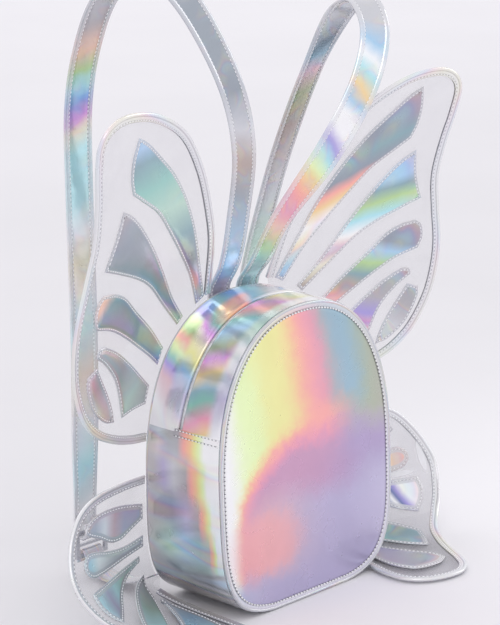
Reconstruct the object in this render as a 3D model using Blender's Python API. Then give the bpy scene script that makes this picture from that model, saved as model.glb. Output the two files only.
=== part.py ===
"""Mini backpack with four fairy wings sewn into its back seam.

Metres, +Z up. Origin on the floor under the bag's centre. The front panel
faces -Y and the wearer's back is on the +Y side.
"""
import math

import bpy
import bmesh
from mathutils import Matrix, Vector
from mathutils.geometry import delaunay_2d_cdt

# --- bag body -------------------------------------------------------------
HALF_W_FRONT = 0.105          # half width of the front outline
HALF_W_BACK = 0.108           # half width at the back seam
WIDEST_Z = 0.1147             # height where the outline is widest
ARCH_RISE = 0.1395            # widest height up to the top of the arch
BASE_DROP = 0.1155            # widest height down to the rounded base
ARCH_POWER = 2.3              # superellipse exponent above the widest height
BASE_POWER = 4.2              # squarer exponent below it
BACK_Y = 0.045
FRONT_Y = -0.0455             # front edge at floor level
FRONT_LEAN = 0.044            # the front panel leans back by this slope
SEAM_Z = 0.1585               # joint between lower gusset and zip gussets
ZIP_Y_LOW = 0.008             # zip line at the gusset joint
ZIP_Y_TOP = 0.003             # zip line at the top of the arch
SKIN = 0.0014                 # vinyl with its backing
GAP = 0.0004                  # clearance kept between sewn pieces
RIM_R = 0.0014                # rolled edge around the front and back
LINING = 0.0008
OUTLINE_LENGTH = 0.80         # nominal length around the bag
SEGMENTS = 52                 # stations around the full bag outline

# --- zip ------------------------------------------------------------------
CHAIN_HALF = 0.0022           # half width of the closed chain
CHAIN_T = 0.0018
ZIP_SLOT = 0.0034             # vinyl edge to zip line
TAPE_W = 0.0085
TOOTH_PITCH = 0.009           # coarse teeth: every second one is left out
ARCH_LENGTH = 0.36            # zip line from seam to seam
SLIDER_START_Z = 0.172

# --- upper wings: pattern points (outward, up) from the bag's centre line ---
FLARE = 0.285                 # the wings lean forward away from the seam
# Hand cutting: size of (outline, petals) against the pattern, away from the root.
UPPER_SIZE = {-1: (1.012, 1.012), 1: (0.982, 1.0)}

SHEET = 0.0008                # clear sheet
PETAL_T = 0.0007
BINDING_W = 0.0075            # width of the folded edge binding
BINDING_T = 0.0034
FOLD_GAP = 0.0008             # air each side of the sheet inside the fold
FOLD = 0.0020                 # solid fold outside the sheet's edge
ROOT_CLEAR = 0.0015           # sheet edge to the bag's outline
STEP = 0.0120                # spacing of points along wing outlines
UPPER_OUTER = ((0.034, 0.2562), (0.041, 0.300), (0.053, 0.330), (0.077, 0.371),
               (0.108, 0.406), (0.147, 0.426), (0.182, 0.432), (0.205, 0.427),
               (0.2175, 0.412), (0.2165, 0.388), (0.2115, 0.362), (0.209, 0.331),
               (0.215, 0.300), (0.222, 0.268), (0.2225, 0.240), (0.217, 0.213),
               (0.203, 0.186), (0.184, 0.168), (0.160, 0.156), (0.134, 0.1475),
               (0.1105, 0.143))
UPPER_PETALS = {
    "petal_1": (((0.0535, 0.2500), (0.068, 0.276), (0.084, 0.296), (0.103, 0.317),
                 (0.127, 0.341), (0.148, 0.354), (0.166, 0.3645)),
                ((0.166, 0.3645), (0.1715, 0.378), (0.1725, 0.394), (0.169, 0.411)),
                ((0.169, 0.411), (0.155, 0.404), (0.136, 0.390), (0.114, 0.372),
                 (0.092, 0.348), (0.072, 0.318), (0.056, 0.284), (0.0435, 0.2550)),
                ((0.0435, 0.2550), (0.0535, 0.2500))),
    "petal_2": (((0.0765, 0.2370), (0.105, 0.262), (0.125, 0.280), (0.145, 0.291),
                 (0.175, 0.302), (0.190, 0.307)),
                ((0.190, 0.307), (0.184, 0.320), (0.179, 0.334), (0.175, 0.353)),
                ((0.175, 0.353), (0.161, 0.346), (0.145, 0.333), (0.126, 0.313),
                 (0.109, 0.291), (0.090, 0.265), (0.0695, 0.2435)),
                ((0.0695, 0.2435), (0.0765, 0.2370))),
    "petal_3": (((0.0995, 0.2075), (0.115, 0.219), (0.133, 0.231), (0.153, 0.244),
                 (0.172, 0.254), (0.194, 0.260)),
                ((0.194, 0.260), (0.1975, 0.270), (0.195, 0.281), (0.188, 0.287)),
                ((0.188, 0.287), (0.172, 0.285), (0.156, 0.278), (0.139, 0.263),
                 (0.115, 0.243), (0.0935, 0.2215)),
                ((0.0935, 0.2215), (0.0995, 0.2075))),
    "petal_4": (((0.1135, 0.177), (0.132, 0.177), (0.149, 0.175)),
                ((0.149, 0.175), (0.155, 0.195), (0.163, 0.212), (0.177, 0.227),
                 (0.190, 0.236)),
                ((0.190, 0.236), (0.188, 0.242), (0.179, 0.243)),
                ((0.179, 0.243), (0.161, 0.234), (0.143, 0.221), (0.123, 0.204),
                 (0.110, 0.193)),
                ((0.110, 0.193), (0.1135, 0.177))),
    "petal_5": (((0.160, 0.1745), (0.173, 0.178), (0.190, 0.192), (0.200, 0.212),
                 (0.200, 0.223)),
                ((0.200, 0.223), (0.188, 0.2275)),
                ((0.188, 0.2275), (0.179, 0.214), (0.170, 0.200), (0.163, 0.186),
                 (0.160, 0.1745))),
}

# --- lower wings: flat pattern, laid on a cone that turns onto the floor ----
APEX = (0.100, 0.045, 0.012)  # lower corner of the back seam
TURN_DEG = 90.0               # pattern angle where the sheet meets the floor
TURN_SOFT = 10.0              # softness of that turn in degrees
FIRST_YAW = 1.0               # forward lean of the sheet beside the seam
APEX_DROP = 0.0088            # how far the tail sinks below the apex
DROP_LENGTH = 0.035
TAIL_SWING = {"left": 22.0, "right": 10.0}
LOWER_OUTER = ((0.1105, 0.114), (0.140, 0.1142), (0.172, 0.112), (0.195, 0.104),
               (0.213, 0.088), (0.227, 0.066), (0.2315, 0.046), (0.226, 0.022),
               (0.218, 0.005), (0.209, -0.015), (0.204, -0.038), (0.197, -0.069),
               (0.191, -0.095), (0.184, -0.112), (0.172, -0.124), (0.155, -0.129),
               (0.135, -0.128), (0.118, -0.119), (0.108, -0.098), (0.104, -0.066),
               (0.102, -0.035), (0.100, -0.008), (0.0985, 0.0055))
LOWER_PETALS = {
    "petal_1": (((0.1145, 0.077), (0.129, 0.0715), (0.143, 0.067), (0.158, 0.0685),
                 (0.172, 0.0760), (0.184, 0.081), (0.192, 0.0860)),
                ((0.192, 0.0860), (0.187, 0.0925), (0.174, 0.0965), (0.156, 0.097),
                 (0.137, 0.095), (0.1145, 0.090)),
                ((0.1145, 0.090), (0.1145, 0.077))),
    "petal_2": (((0.1145, 0.0525), (0.130, 0.0505), (0.155, 0.0485), (0.180, 0.0485),
                 (0.195, 0.050), (0.2035, 0.056), (0.2035, 0.064), (0.195, 0.0695),
                 (0.183, 0.0685), (0.160, 0.0625), (0.137, 0.0600), (0.1145, 0.0625)),
                ((0.1145, 0.0625), (0.1145, 0.0525))),
    "petal_3": (((0.120, 0.0405), (0.144, 0.033), (0.161, 0.0255), (0.180, 0.0155),
                 (0.199, 0.008)),
                ((0.199, 0.008), (0.207, 0.018), (0.211, 0.029), (0.209, 0.0405)),
                ((0.209, 0.0405), (0.188, 0.0410), (0.165, 0.0415), (0.140, 0.043),
                 (0.120, 0.0455)),
                ((0.120, 0.0455), (0.120, 0.0405))),
    "petal_4": (((0.1155, 0.012), (0.130, -0.009), (0.148, -0.031), (0.166, -0.046),
                 (0.182, -0.054)),
                ((0.182, -0.054), (0.189, -0.036), (0.192, -0.018)),
                ((0.192, -0.018), (0.184, -0.008), (0.170, 0.003), (0.150, 0.014),
                 (0.132, 0.023), (0.1155, 0.028)),
                ((0.1155, 0.028), (0.1155, 0.012))),
    "petal_5": (((0.1125, -0.018), (0.114, -0.050), (0.120, -0.080), (0.129, -0.0965),
                 (0.141, -0.104), (0.163, -0.100), (0.177, -0.089)),
                ((0.177, -0.089), (0.172, -0.076), (0.156, -0.062), (0.138, -0.044),
                 (0.123, -0.022), (0.116, -0.004)),
                ((0.116, -0.004), (0.1125, -0.018))),
}

# --- shoulder straps --------------------------------------------------------
STRAP_W = 0.026
STRAP_T = 0.0026
YOKE_Z = (0.200, 0.236)
YOKE_HALF = 0.042
STRAP_PATHS = {
    "left": ((-0.015, 0.0505, 0.2385), (-0.015, 0.0490, 0.2560), (-0.0155, 0.0360, 0.2790),
             (-0.0195, 0.0230, 0.3190), (-0.030, 0.0060, 0.3810), (-0.0495, 0.0040, 0.4410),
             (-0.080, 0.0210, 0.5060), (-0.103, 0.0440, 0.5300), (-0.119, 0.0700, 0.5100),
             (-0.120, 0.0930, 0.4670), (-0.114, 0.1120, 0.4120), (-0.106, 0.1210, 0.3340),
             (-0.100, 0.1250, 0.2120), (-0.097, 0.1300, 0.1000), (-0.095, 0.1335, 0.0500),
             (-0.095, 0.1322, 0.0400), (-0.095, 0.1262, 0.0350), (-0.095, 0.1204, 0.0390),
             (-0.095, 0.1196, 0.0500)),
    "right": ((0.020, 0.0505, 0.2385), (0.020, 0.0490, 0.2560), (0.0195, 0.0340, 0.2760),
              (0.024, 0.0130, 0.3150), (0.050, -0.0150, 0.3710), (0.080, -0.0260, 0.4230),
              (0.1010, -0.0200, 0.4640), (0.1100, 0.0000, 0.4880), (0.1120, 0.0240, 0.4800),
              (0.1070, 0.0430, 0.4490), (0.1020, 0.0700, 0.3880), (0.101, 0.0990, 0.3130),
              (0.0965, 0.1240, 0.2120), (0.095, 0.1300, 0.1000), (0.095, 0.1335, 0.0500),
              (0.095, 0.1322, 0.0400), (0.095, 0.1262, 0.0350), (0.095, 0.1204, 0.0390),
              (0.095, 0.1196, 0.0500)),
}
# (share of the strap, turn in degrees about the upright) of its flat side
STRAP_YAW = {"left": ((0.0, 0.0), (0.18, -2.0), (0.45, -13.0), (1.0, -14.0)),
             "right": ((0.0, -2.0), (0.08, -4.0), (0.18, -24.0), (0.30, -26.0),
                       (0.38, -34.0), (0.48, -4.0), (1.0, 4.0))}
RING_W = 0.036                # tri-glide outer width
RING_H = 0.024
RING_BAR = 0.0026
RING_CENTRE = (0.095, 0.1262, 0.030)
TAB_START = (0.094, 0.0475, 0.020)
WEB_T = 0.0014

PALETTE = {
    "vinyl": ((0.74, 0.76, 0.80), 0.18, 0.9),
    "petal": ((0.62, 0.72, 0.78), 0.16, 0.9),
    "binding": ((0.80, 0.81, 0.84), 0.22, 0.9),
    "clear": ((0.93, 0.94, 0.96), 0.06, 0.0),
    "metal": ((0.70, 0.70, 0.72), 0.25, 1.0),
    "tape": ((0.78, 0.78, 0.80), 0.80, 0.0),
    "chain": ((0.86, 0.86, 0.88), 0.45, 0.0),
    "lining": ((0.72, 0.72, 0.74), 0.85, 0.0),
    "board": ((0.30, 0.30, 0.32), 0.60, 0.0),
}


def clear_scene():
    for obj in list(bpy.data.objects):
        bpy.data.objects.remove(obj, do_unlink=True)


def add_material(obj, kind):
    colour, roughness, metallic = PALETTE[kind]
    mat = bpy.data.materials.new(obj.name)
    mat.use_nodes = True
    shader = mat.node_tree.nodes["Principled BSDF"]
    shader.inputs["Base Color"].default_value = (*colour, 1.0)
    shader.inputs["Roughness"].default_value = roughness
    shader.inputs["Metallic"].default_value = metallic
    obj.data.materials.append(mat)


def add_object(name, verts, faces, kind, origin=(0, 0, 0), smooth=True):
    """One closed body, with outward faces and its origin at `origin`."""
    mesh = bpy.data.meshes.new(name)
    mesh.from_pydata([tuple(v) for v in verts], [], faces)
    bm = bmesh.new()
    bm.from_mesh(mesh)
    bmesh.ops.recalc_face_normals(bm, faces=bm.faces)
    if bm.calc_volume(signed=True) < 0:
        bmesh.ops.reverse_faces(bm, faces=bm.faces)
    bmesh.ops.triangulate(bm, faces=[f for f in bm.faces if len(f.verts) > 3])
    bm.to_mesh(mesh)
    bm.free()
    mesh.transform(Matrix.Translation(-Vector(origin)))
    if smooth:
        mesh.shade_smooth()
        mesh.set_sharp_from_angle(angle=math.radians(35))
    obj = bpy.data.objects.new(name, mesh)
    obj.location = origin
    bpy.context.scene.collection.objects.link(obj)
    add_material(obj, kind)
    return obj


def loft(rings, closed=False):
    """Faces joining equal rings of points in order, with end caps if open."""
    count = len(rings[0])
    verts = [p for ring in rings for p in ring]
    faces = []
    total = len(rings)
    for i in range(total if closed else total - 1):
        a, b = i * count, ((i + 1) % total) * count
        for j in range(count):
            k = (j + 1) % count
            faces.append((a + j, a + k, b + k, b + j))
    if not closed:
        faces.append(tuple(range(count)))
        faces.append(tuple(range((total - 1) * count, total * count)))
    return verts, faces


# --- bag outline ------------------------------------------------------------
def signed_power(value, power):
    return math.copysign(abs(value) ** power, value)


def outline_point(angle, y, inset=0.0):
    """Point of the bag's section at depth y, for an angle from +X."""
    span = (y - FRONT_Y) / (BACK_Y - FRONT_Y)
    half = HALF_W_FRONT + (HALF_W_BACK - HALF_W_FRONT) * span - inset
    c, s = math.cos(angle), math.sin(angle)
    power = 2.0 / (ARCH_POWER if s >= 0 else BASE_POWER)
    rise = (ARCH_RISE if s >= 0 else BASE_DROP) - inset
    x = half * signed_power(c, power)
    z = WIDEST_Z + rise * signed_power(s, power)
    return x, max(z, inset)


def front_y(z):
    return FRONT_Y + FRONT_LEAN * z


def zip_y(z):
    share = (z - SEAM_Z) / (WIDEST_Z + ARCH_RISE - SEAM_Z)
    return ZIP_Y_LOW + (ZIP_Y_TOP - ZIP_Y_LOW) * share


def seam_angle():
    """Outline angle where the height equals SEAM_Z."""
    s = ((SEAM_Z - WIDEST_Z) / ARCH_RISE) ** (ARCH_POWER / 2.0)
    return math.asin(s)


def outline_angles(start, stop, closed):
    """Angles from start to stop with near-equal spacing along the outline."""
    fine = 1440
    points = []
    for i in range(fine + 1):
        a = start + (stop - start) * i / fine
        points.append((a, Vector(outline_point(a, BACK_Y))))
    length = [0.0]
    for (_, p), (_, q) in zip(points, points[1:]):
        length.append(length[-1] + (q - p).length)
    count = max(8, round(SEGMENTS * length[-1] / OUTLINE_LENGTH))
    angles = []
    j = 0
    for i in range(count if closed else count + 1):
        goal = length[-1] * i / count
        while j < fine and length[j + 1] < goal:
            j += 1
        low, high = length[j], length[min(j + 1, fine)]
        share = 0.0 if high == low else (goal - low) / (high - low)
        angles.append(points[j][0] + (stop - start) / fine * share)
    return angles


def band(name, kind, angles, y_near, y_far, inset, thick, closed=False):
    """Strip that follows the outline between two depth functions of height."""
    rings = []
    for a in angles:
        ring = []
        for y_of, depth in ((y_near, inset), (y_far, inset), (y_far, inset + thick),
                            (y_near, inset + thick)):
            z = outline_point(a, 0.0)[1]
            y = y_of(z)
            x, z = outline_point(a, y, depth)
            ring.append((x, y, z))
        rings.append(ring)
    verts, faces = loft(rings, closed)
    return add_object(name, verts, faces, kind)


def plate(name, kind, angles, y_of, inset, thick):
    """Flat panel filling the outline; `thick` runs toward +Y."""
    near, far = [], []
    for a in angles:
        z = outline_point(a, 0.0)[1]
        x, z = outline_point(a, y_of(z), inset)
        near.append((x, y_of(z), z))
        far.append((x, y_of(z) + thick, z))
    count = len(near)
    faces = [tuple(range(count)), tuple(range(count, 2 * count))]
    for i in range(count):
        j = (i + 1) % count
        faces.append((i, j, count + j, count + i))
    return add_object(name, near + far, faces, kind)


def rim(name, angles, y_of):
    """Rolled edge of round section around a panel."""
    rings = []
    for i, a in enumerate(angles):
        z = outline_point(a, 0.0)[1]
        y = y_of(z)
        x, z = outline_point(a, y, RIM_R)
        before = Vector(outline_point(angles[i - 1], y, RIM_R))
        after = Vector(outline_point(angles[(i + 1) % len(angles)], y, RIM_R))
        along = (after - before).normalized()
        out = Vector((along.y, -along.x))
        ring = []
        for k in range(6):
            t = math.tau * (k + 0.5) / 6
            shift = out * RIM_R * math.cos(t)
            ring.append((x + shift.x, y + RIM_R * math.sin(t), max(z + shift.y, 0.0)))
        rings.append(ring)
    verts, faces = loft(rings, closed=True)
    return add_object(name, verts, faces, "vinyl")


def build_bag():
    seam = seam_angle()
    around = outline_angles(-math.pi / 2, math.tau - math.pi / 2, True)
    lower = outline_angles(math.pi - seam + 0.004, math.tau + seam - 0.004, False)
    arch = outline_angles(seam + 0.004, math.pi - seam - 0.004, False)
    front_in = 2 * RIM_R + GAP
    front_edge = lambda z: front_y(z) + 2 * RIM_R + GAP
    back_edge = lambda z: BACK_Y - 2 * RIM_R - GAP
    plate("front_panel", "vinyl", around, lambda z: front_y(z) + 0.0006, front_in, SKIN)
    plate("back_panel", "vinyl", around, lambda z: BACK_Y - RIM_R - SKIN / 2, front_in, SKIN)
    rim("front_rim", around, lambda z: front_y(z) + RIM_R)
    rim("back_rim", around, lambda z: BACK_Y - RIM_R)
    band("lower_gusset", "vinyl", lower, front_edge, back_edge, 0.0, SKIN)
    band("front_zip_gusset", "vinyl", arch, front_edge, lambda z: zip_y(z) - ZIP_SLOT, 0.0, SKIN)
    band("rear_zip_gusset", "vinyl", arch, lambda z: zip_y(z) + ZIP_SLOT, back_edge, 0.0, SKIN)
    tape_in = SKIN + GAP
    inner = CHAIN_HALF + GAP
    band("front_zip_tape", "tape", arch, lambda z: zip_y(z) - inner - TAPE_W,
         lambda z: zip_y(z) - inner, tape_in, LINING)
    band("rear_zip_tape", "tape", arch, lambda z: zip_y(z) + inner,
         lambda z: zip_y(z) + inner + TAPE_W, tape_in, LINING)
    lining_in = tape_in + LINING + GAP
    front_inner = lambda z: front_y(z) + 0.0006 + SKIN + GAP
    back_inner = BACK_Y - RIM_R - SKIN / 2 - GAP
    plate("lining_front", "lining", around, front_inner, lining_in + 0.002, LINING)
    plate("lining_back", "lining", around, lambda z: back_inner - LINING, lining_in + 0.002, LINING)
    wall_near = lambda z: front_inner(z) + LINING + GAP
    wall_far = lambda z: back_inner - LINING - GAP
    band("lining_lower", "lining", lower, wall_near, wall_far, lining_in, LINING)
    band("lining_arch_front", "lining", arch, wall_near,
         lambda z: zip_y(z) - ZIP_SLOT - 0.003, lining_in, LINING)
    band("lining_arch_rear", "lining", arch, lambda z: zip_y(z) + ZIP_SLOT + 0.003,
         wall_far, lining_in, LINING)
    build_base_board(lining_in + LINING + GAP)
    build_yoke()
    return arch


def build_base_board(height):
    """Stiff insert that keeps the base flat."""
    half_x, y_low, y_high, thick, corner = 0.046, -0.036, 0.037, 0.002, 0.010
    ring = []
    for cx, cy, start in ((half_x - corner, y_low + corner, -90), (half_x - corner, y_high - corner, 0),
                          (corner - half_x, y_high - corner, 90), (corner - half_x, y_low + corner, 180)):
        for k in range(5):
            t = math.radians(start + 90 * k / 4)
            ring.append((cx + corner * math.cos(t), cy + corner * math.sin(t)))
    low = height + 0.0016
    verts, faces = loft([[(x, y, low) for x, y in ring], [(x, y, low + thick) for x, y in ring]])
    add_object("base_board", verts, faces, "board")


def build_yoke():
    """Patch on the back panel that holds the straps' upper ends."""
    near = BACK_Y - RIM_R + SKIN / 2 + GAP
    ring = [(-YOKE_HALF, YOKE_Z[0] + 0.008), (-YOKE_HALF + 0.008, YOKE_Z[0]),
            (YOKE_HALF - 0.008, YOKE_Z[0]), (YOKE_HALF, YOKE_Z[0] + 0.008),
            (YOKE_HALF, YOKE_Z[1]), (-YOKE_HALF, YOKE_Z[1])]
    verts, faces = loft([[(x, near, z) for x, z in ring], [(x, near + 0.0022, z) for x, z in ring]])
    add_object("strap_yoke", verts, faces, "vinyl", smooth=False)


# --- zip --------------------------------------------------------------------
def build_zip(arch):
    """Closed chain, slider and puller. The slider starts at the right end."""
    start, stop = arch[0], arch[-1]
    count = round(ARCH_LENGTH / TOOTH_PITCH) * 2
    rings = []
    steps = [start + (stop - start) * i / 720 for i in range(721)]
    points = [Vector(outline_point(a, 0.0, SKIN + GAP)) for a in steps]
    length = [0.0]
    for p, q in zip(points, points[1:]):
        length.append(length[-1] + (q - p).length)
    j = 0
    for i in range(count + 1):
        goal = length[-1] * i / count
        while j < 719 and length[j + 1] < goal:
            j += 1
        a = steps[j] + (steps[1] - steps[0]) * (goal - length[j]) / (length[j + 1] - length[j])
        z0 = outline_point(a, 0.0)[1]
        y0 = zip_y(z0)
        half = CHAIN_HALF if i % 2 else CHAIN_HALF * 0.78
        ring = []
        for y, inset in ((y0 - half, SKIN + GAP), (y0 + half, SKIN + GAP),
                         (y0 + half, SKIN + GAP + CHAIN_T), (y0 - half, SKIN + GAP + CHAIN_T)):
            x, z = outline_point(a, y, inset)
            ring.append((x, y, z))
        rings.append(ring)
    verts, faces = loft(rings)
    add_object("zip_chain", verts, faces, "chain", smooth=False)
    build_slider()


def slider_frame():
    """Point on the zip line, with along and outward directions there."""
    s = ((SLIDER_START_Z - WIDEST_Z) / ARCH_RISE) ** (ARCH_POWER / 2.0)
    a = math.asin(s)
    y = zip_y(SLIDER_START_Z)
    x, z = outline_point(a, y)
    before = outline_point(a - 0.02, y)
    after = outline_point(a + 0.02, y)
    along = Vector((after[0] - before[0], 0.0, after[1] - before[1])).normalized()
    out = Vector((along.z, 0.0, -along.x))
    return Vector((x, y, z)), along, out


def build_slider():
    """Slider body above the vinyl, with a bridge, and a puller through it."""
    base, along, out = slider_frame()
    across = Vector((0.0, 1.0, 0.0))
    profile = ((-0.0052, 0.0006), (0.0052, 0.0006), (0.0052, 0.0022), (0.0036, 0.0022),
               (0.0036, 0.0056), (-0.0036, 0.0056), (-0.0036, 0.0022), (-0.0052, 0.0022))
    hole = ((-0.0024, 0.0018), (0.0024, 0.0018), (0.0024, 0.0044), (-0.0024, 0.0044))
    body = []
    for y in (-0.0030, 0.0030):
        body.append([base + along * u + out * v + across * y for u, v in profile])
    verts, faces = loft(body)
    slider = add_object("zip_slider", verts, faces, "metal", smooth=False)
    cut = []
    for y in (-0.0060, 0.0060):
        cut.append([base + along * u + out * v + across * y for u, v in hole])
    verts, faces = loft(cut)
    cutter = add_object("slider_cutter", verts, faces, "metal", smooth=False)
    cutter.hide_render = True
    cutter.display_type = "WIRE"
    bridge = slider.modifiers.new("bridge", "BOOLEAN")
    bridge.object = cutter
    bridge.operation = "DIFFERENCE"
    bridge.solver = "EXACT"
    build_puller(base, along, out)


def build_puller(base, along, out):
    """Flat puller: a pin through the bridge, side arms and a drop tab."""
    down = -along
    pin = base + out * 0.0031
    half, bar = 0.0052, 0.0008
    outline = ((-half, bar), (half, bar), (half, -0.022), (0.0035, -0.026),
               (-0.0035, -0.026), (-half, -0.022))
    window = ((-0.0034, -bar), (0.0034, -bar), (0.0034, -0.0072), (-0.0034, -0.0072))
    side = Vector((0.0, 1.0, 0.0))

    def slab(points, low, high):
        rings = []
        for h in (low, high):
            rings.append([pin + side * u - down * v + out * h for u, v in points])
        return loft(rings)

    verts, faces = slab(outline, -0.0006, 0.0006)
    puller = add_object("zip_puller", verts, faces, "metal", origin=pin, smooth=False)
    verts, faces = slab(window, -0.003, 0.003)
    cutter = add_object("puller_cutter", verts, faces, "metal", smooth=False)
    cutter.hide_render = True
    cutter.display_type = "WIRE"
    cut = puller.modifiers.new("window", "BOOLEAN")
    cut.object = cutter
    cut.operation = "DIFFERENCE"
    cut.solver = "EXACT"


# --- curves -----------------------------------------------------------------
def spline(points, step, ends=True):
    """Centripetal-like smooth curve through points, resampled at `step`."""
    pts = [Vector(p) for p in points]
    if len(pts) == 2:
        fine = [pts[0].lerp(pts[1], i / 20) for i in range(21)]
    else:
        padded = [pts[0] * 2 - pts[1]] + pts + [pts[-1] * 2 - pts[-2]]
        fine = []
        for p0, p1, p2, p3 in zip(padded, padded[1:], padded[2:], padded[3:]):
            for i in range(16):
                t = i / 16
                fine.append(0.5 * (2 * p1 + (p2 - p0) * t + (2 * p0 - 5 * p1 + 4 * p2 - p3) * t * t
                                   + (3 * p1 - p0 - 3 * p2 + p3) * t ** 3))
        fine.append(pts[-1])
    length = [0.0]
    for p, q in zip(fine, fine[1:]):
        length.append(length[-1] + (q - p).length)
    count = max(1, round(length[-1] / step))
    out = []
    j = 0
    for i in range(count + 1):
        goal = length[-1] * i / count
        while j < len(fine) - 2 and length[j + 1] < goal:
            j += 1
        share = (goal - length[j]) / max(length[j + 1] - length[j], 1e-9)
        out.append(fine[j].lerp(fine[j + 1], share))
    return out if ends else out[:-1]


def inward_offset(points, distance):
    """Shift an open outline sideways, to the right of its direction."""
    out = []
    for i, p in enumerate(points):
        before = points[max(i - 1, 0)]
        after = points[min(i + 1, len(points) - 1)]
        along = (after - before).normalized()
        out.append(p + Vector((along.y, -along.x)) * distance)
    return out


# --- wing surfaces ------------------------------------------------------------
def bag_distance(u, v):
    """Pattern distance from the bag's back outline, 0 inside it."""
    du, dv = u, v - WIDEST_Z
    if dv <= 0:
        return max(u - HALF_W_BACK, 0.0)
    radius = math.hypot(du, dv)
    c, s = du / radius, dv / radius
    return max(radius - 1.0 / math.sqrt((s / ARCH_RISE) ** 2 + (c / HALF_W_BACK) ** 2), 0.0)


def sized(points, factor):
    """Pattern points scaled about the bag's middle, but not beside the seam."""
    out = []
    for u, v in points:
        share = (factor - 1.0) * smoothstep(bag_distance(u, v) / 0.09)
        out.append((u * (1.0 + share), WIDEST_Z + (v - WIDEST_Z) * (1.0 + share)))
    return out


def upper_surface(u, v, side):
    """The upper wings flare forward from the back seam."""
    return Vector((side * u, BACK_Y - 0.0012 - FLARE * bag_distance(u, v), v))


def lower_tables():
    """Elevation and heading of the cone's rulings against pattern angle."""
    step = 0.5
    heading = FIRST_YAW
    rows = []
    for i in range(401):
        angle = i * step
        soft = math.exp((TURN_DEG - angle) / TURN_SOFT)
        elevation = TURN_SOFT * math.log1p(soft)
        sink = 1.0 / (1.0 + soft)
        rows.append((elevation, heading, sink))
        slope = 1.0 - sink
        turn = math.sqrt(max(1.0 - slope * slope, 0.0))
        heading += step * turn / max(math.cos(math.radians(elevation)), 0.2)
    return rows


RULINGS = lower_tables()


def smoothstep(value):
    value = min(max(value, 0.0), 1.0)
    return value * value * (3 - 2 * value)


def lower_surface(u, v, side):
    """The lower wings roll from the side seam onto the floor."""
    du, dv = u - APEX[0], v - APEX[2]
    radius = math.hypot(du, dv)
    angle = math.degrees(math.atan2(du, dv))
    if angle < 0:
        angle = 0.0 if dv > 0 else angle + 360.0
    place = min(angle / 0.5, 399.0)
    i = int(place)
    share = place - i
    elevation, heading, sink = (a + (b - a) * share for a, b in zip(RULINGS[i], RULINGS[i + 1]))
    name = "left" if side < 0 else "right"
    heading -= TAIL_SWING[name] * smoothstep((angle - 95.0) / 60.0)
    rise, yaw = math.radians(elevation), math.radians(heading)
    drop = APEX_DROP * sink * (1.0 - math.exp(-radius / DROP_LENGTH))
    x = APEX[0] + radius * math.cos(rise) * math.cos(yaw)
    if dv > 0 and du < 0:
        x = u
    y = APEX[1] - 0.0012 - radius * math.cos(rise) * math.sin(yaw)
    z = APEX[2] + radius * math.sin(rise) - drop
    return Vector((side * x, y, z))


def surface_normal(surface, u, v, side):
    """Normal that points to the wing's front."""
    h = 0.0005
    across = surface(u + h, v, side) - surface(u - h, v, side)
    up = surface(u, v + h, side) - surface(u, v - h, side)
    normal = across.cross(up) if side > 0 else up.cross(across)
    return normal.normalized()


def fan_points():
    """Pattern points on the lower wing's rulings, closer where it turns."""
    angles = list(range(0, 66, 15)) + list(range(70, 122, 6)) + list(range(130, 190, 12))
    points = []
    for degrees in angles:
        for k in range(12):
            radius = 0.018 + 0.020 * k
            a = math.radians(degrees)
            points.append(Vector((APEX[0] + radius * math.sin(a), APEX[2] + radius * math.cos(a))))
    return points


def flare_points(spacing):
    """Staggered grid of pattern points for the upper wing."""
    points = []
    for r in range(int(0.30 / spacing)):
        for c in range(int(0.22 / spacing)):
            points.append(Vector((0.02 + (c + 0.5 * (r % 2)) * spacing, 0.14 + r * spacing)))
    return points


def sheet(name, kind, outline, surface, side, centre, thick, inner_points):
    """Thin sheet over a pattern outline, laid on a wing surface."""
    points = [p.copy() for p in outline]
    edges = [(i, (i + 1) % len(outline)) for i in range(len(outline))]
    for p in inner_points:
        if min((p - q).length for q in outline) > STEP * 0.6:
            points.append(p)
    found = delaunay_2d_cdt(points, edges, [tuple(range(len(outline)))], 1, 1e-6)
    flat, triangles = found[0], [tuple(f) for f in found[2]]
    used = sorted({i for f in triangles for i in f})
    index = {old: new for new, old in enumerate(used)}
    triangles = [tuple(index[i] for i in f) for f in triangles]
    front, back = [], []
    for old in used:
        u, v = flat[old]
        base = surface(u, v, side)
        normal = surface_normal(surface, u, v, side)
        front.append(base + normal * (centre + thick / 2))
        back.append(base + normal * (centre - thick / 2))
    count = len(front)
    border = {}
    for f in triangles:
        for a, b in ((f[0], f[1]), (f[1], f[2]), (f[2], f[0])):
            border[(a, b)] = border.get((a, b), 0) + 1
    faces = list(triangles)
    faces += [tuple(count + i for i in reversed(f)) for f in triangles]
    for a, b in border:
        if (b, a) not in border:
            faces.append((b, a, count + a, count + b))
    return add_object(name, front + back, faces, kind)


def edge_binding(name, outer, surface, side):
    """Folded tape around the sheet's edge: a U section along the outline."""
    slot = SHEET / 2 + FOLD_GAP
    half = BINDING_T / 2
    section = ((0.0, -half), (0.0, half), (BINDING_W, half), (BINDING_W, slot),
               (FOLD, slot), (FOLD, -slot), (BINDING_W, -slot), (BINDING_W, -half))
    rows = {d: inward_offset(outer, d) for d in {d for d, _ in section}}
    rings = []
    for i in range(len(outer)):
        ring = []
        for d, h in section:
            p = rows[d][i]
            base = surface(p.x, p.y, side)
            ring.append(base + surface_normal(surface, p.x, p.y, side) * h)
        rings.append(ring)
    verts, faces = loft(rings)
    return add_object(name, verts, faces, "binding")


def root_curve(start, stop, clear, count):
    """Points just outside the bag's back outline between two angles."""
    out = []
    for i in range(count + 1):
        a = start + (stop - start) * i / count
        x, z = outline_point(a, BACK_Y, -clear)
        out.append(Vector((x, z)))
    return out


def angle_at(u, v):
    """Outline angle of the bag nearest to a pattern point."""
    best = min(range(721), key=lambda i: (Vector(outline_point(math.tau * i / 720, BACK_Y))
                                          - Vector((u, v))).length)
    return math.tau * best / 720


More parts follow.
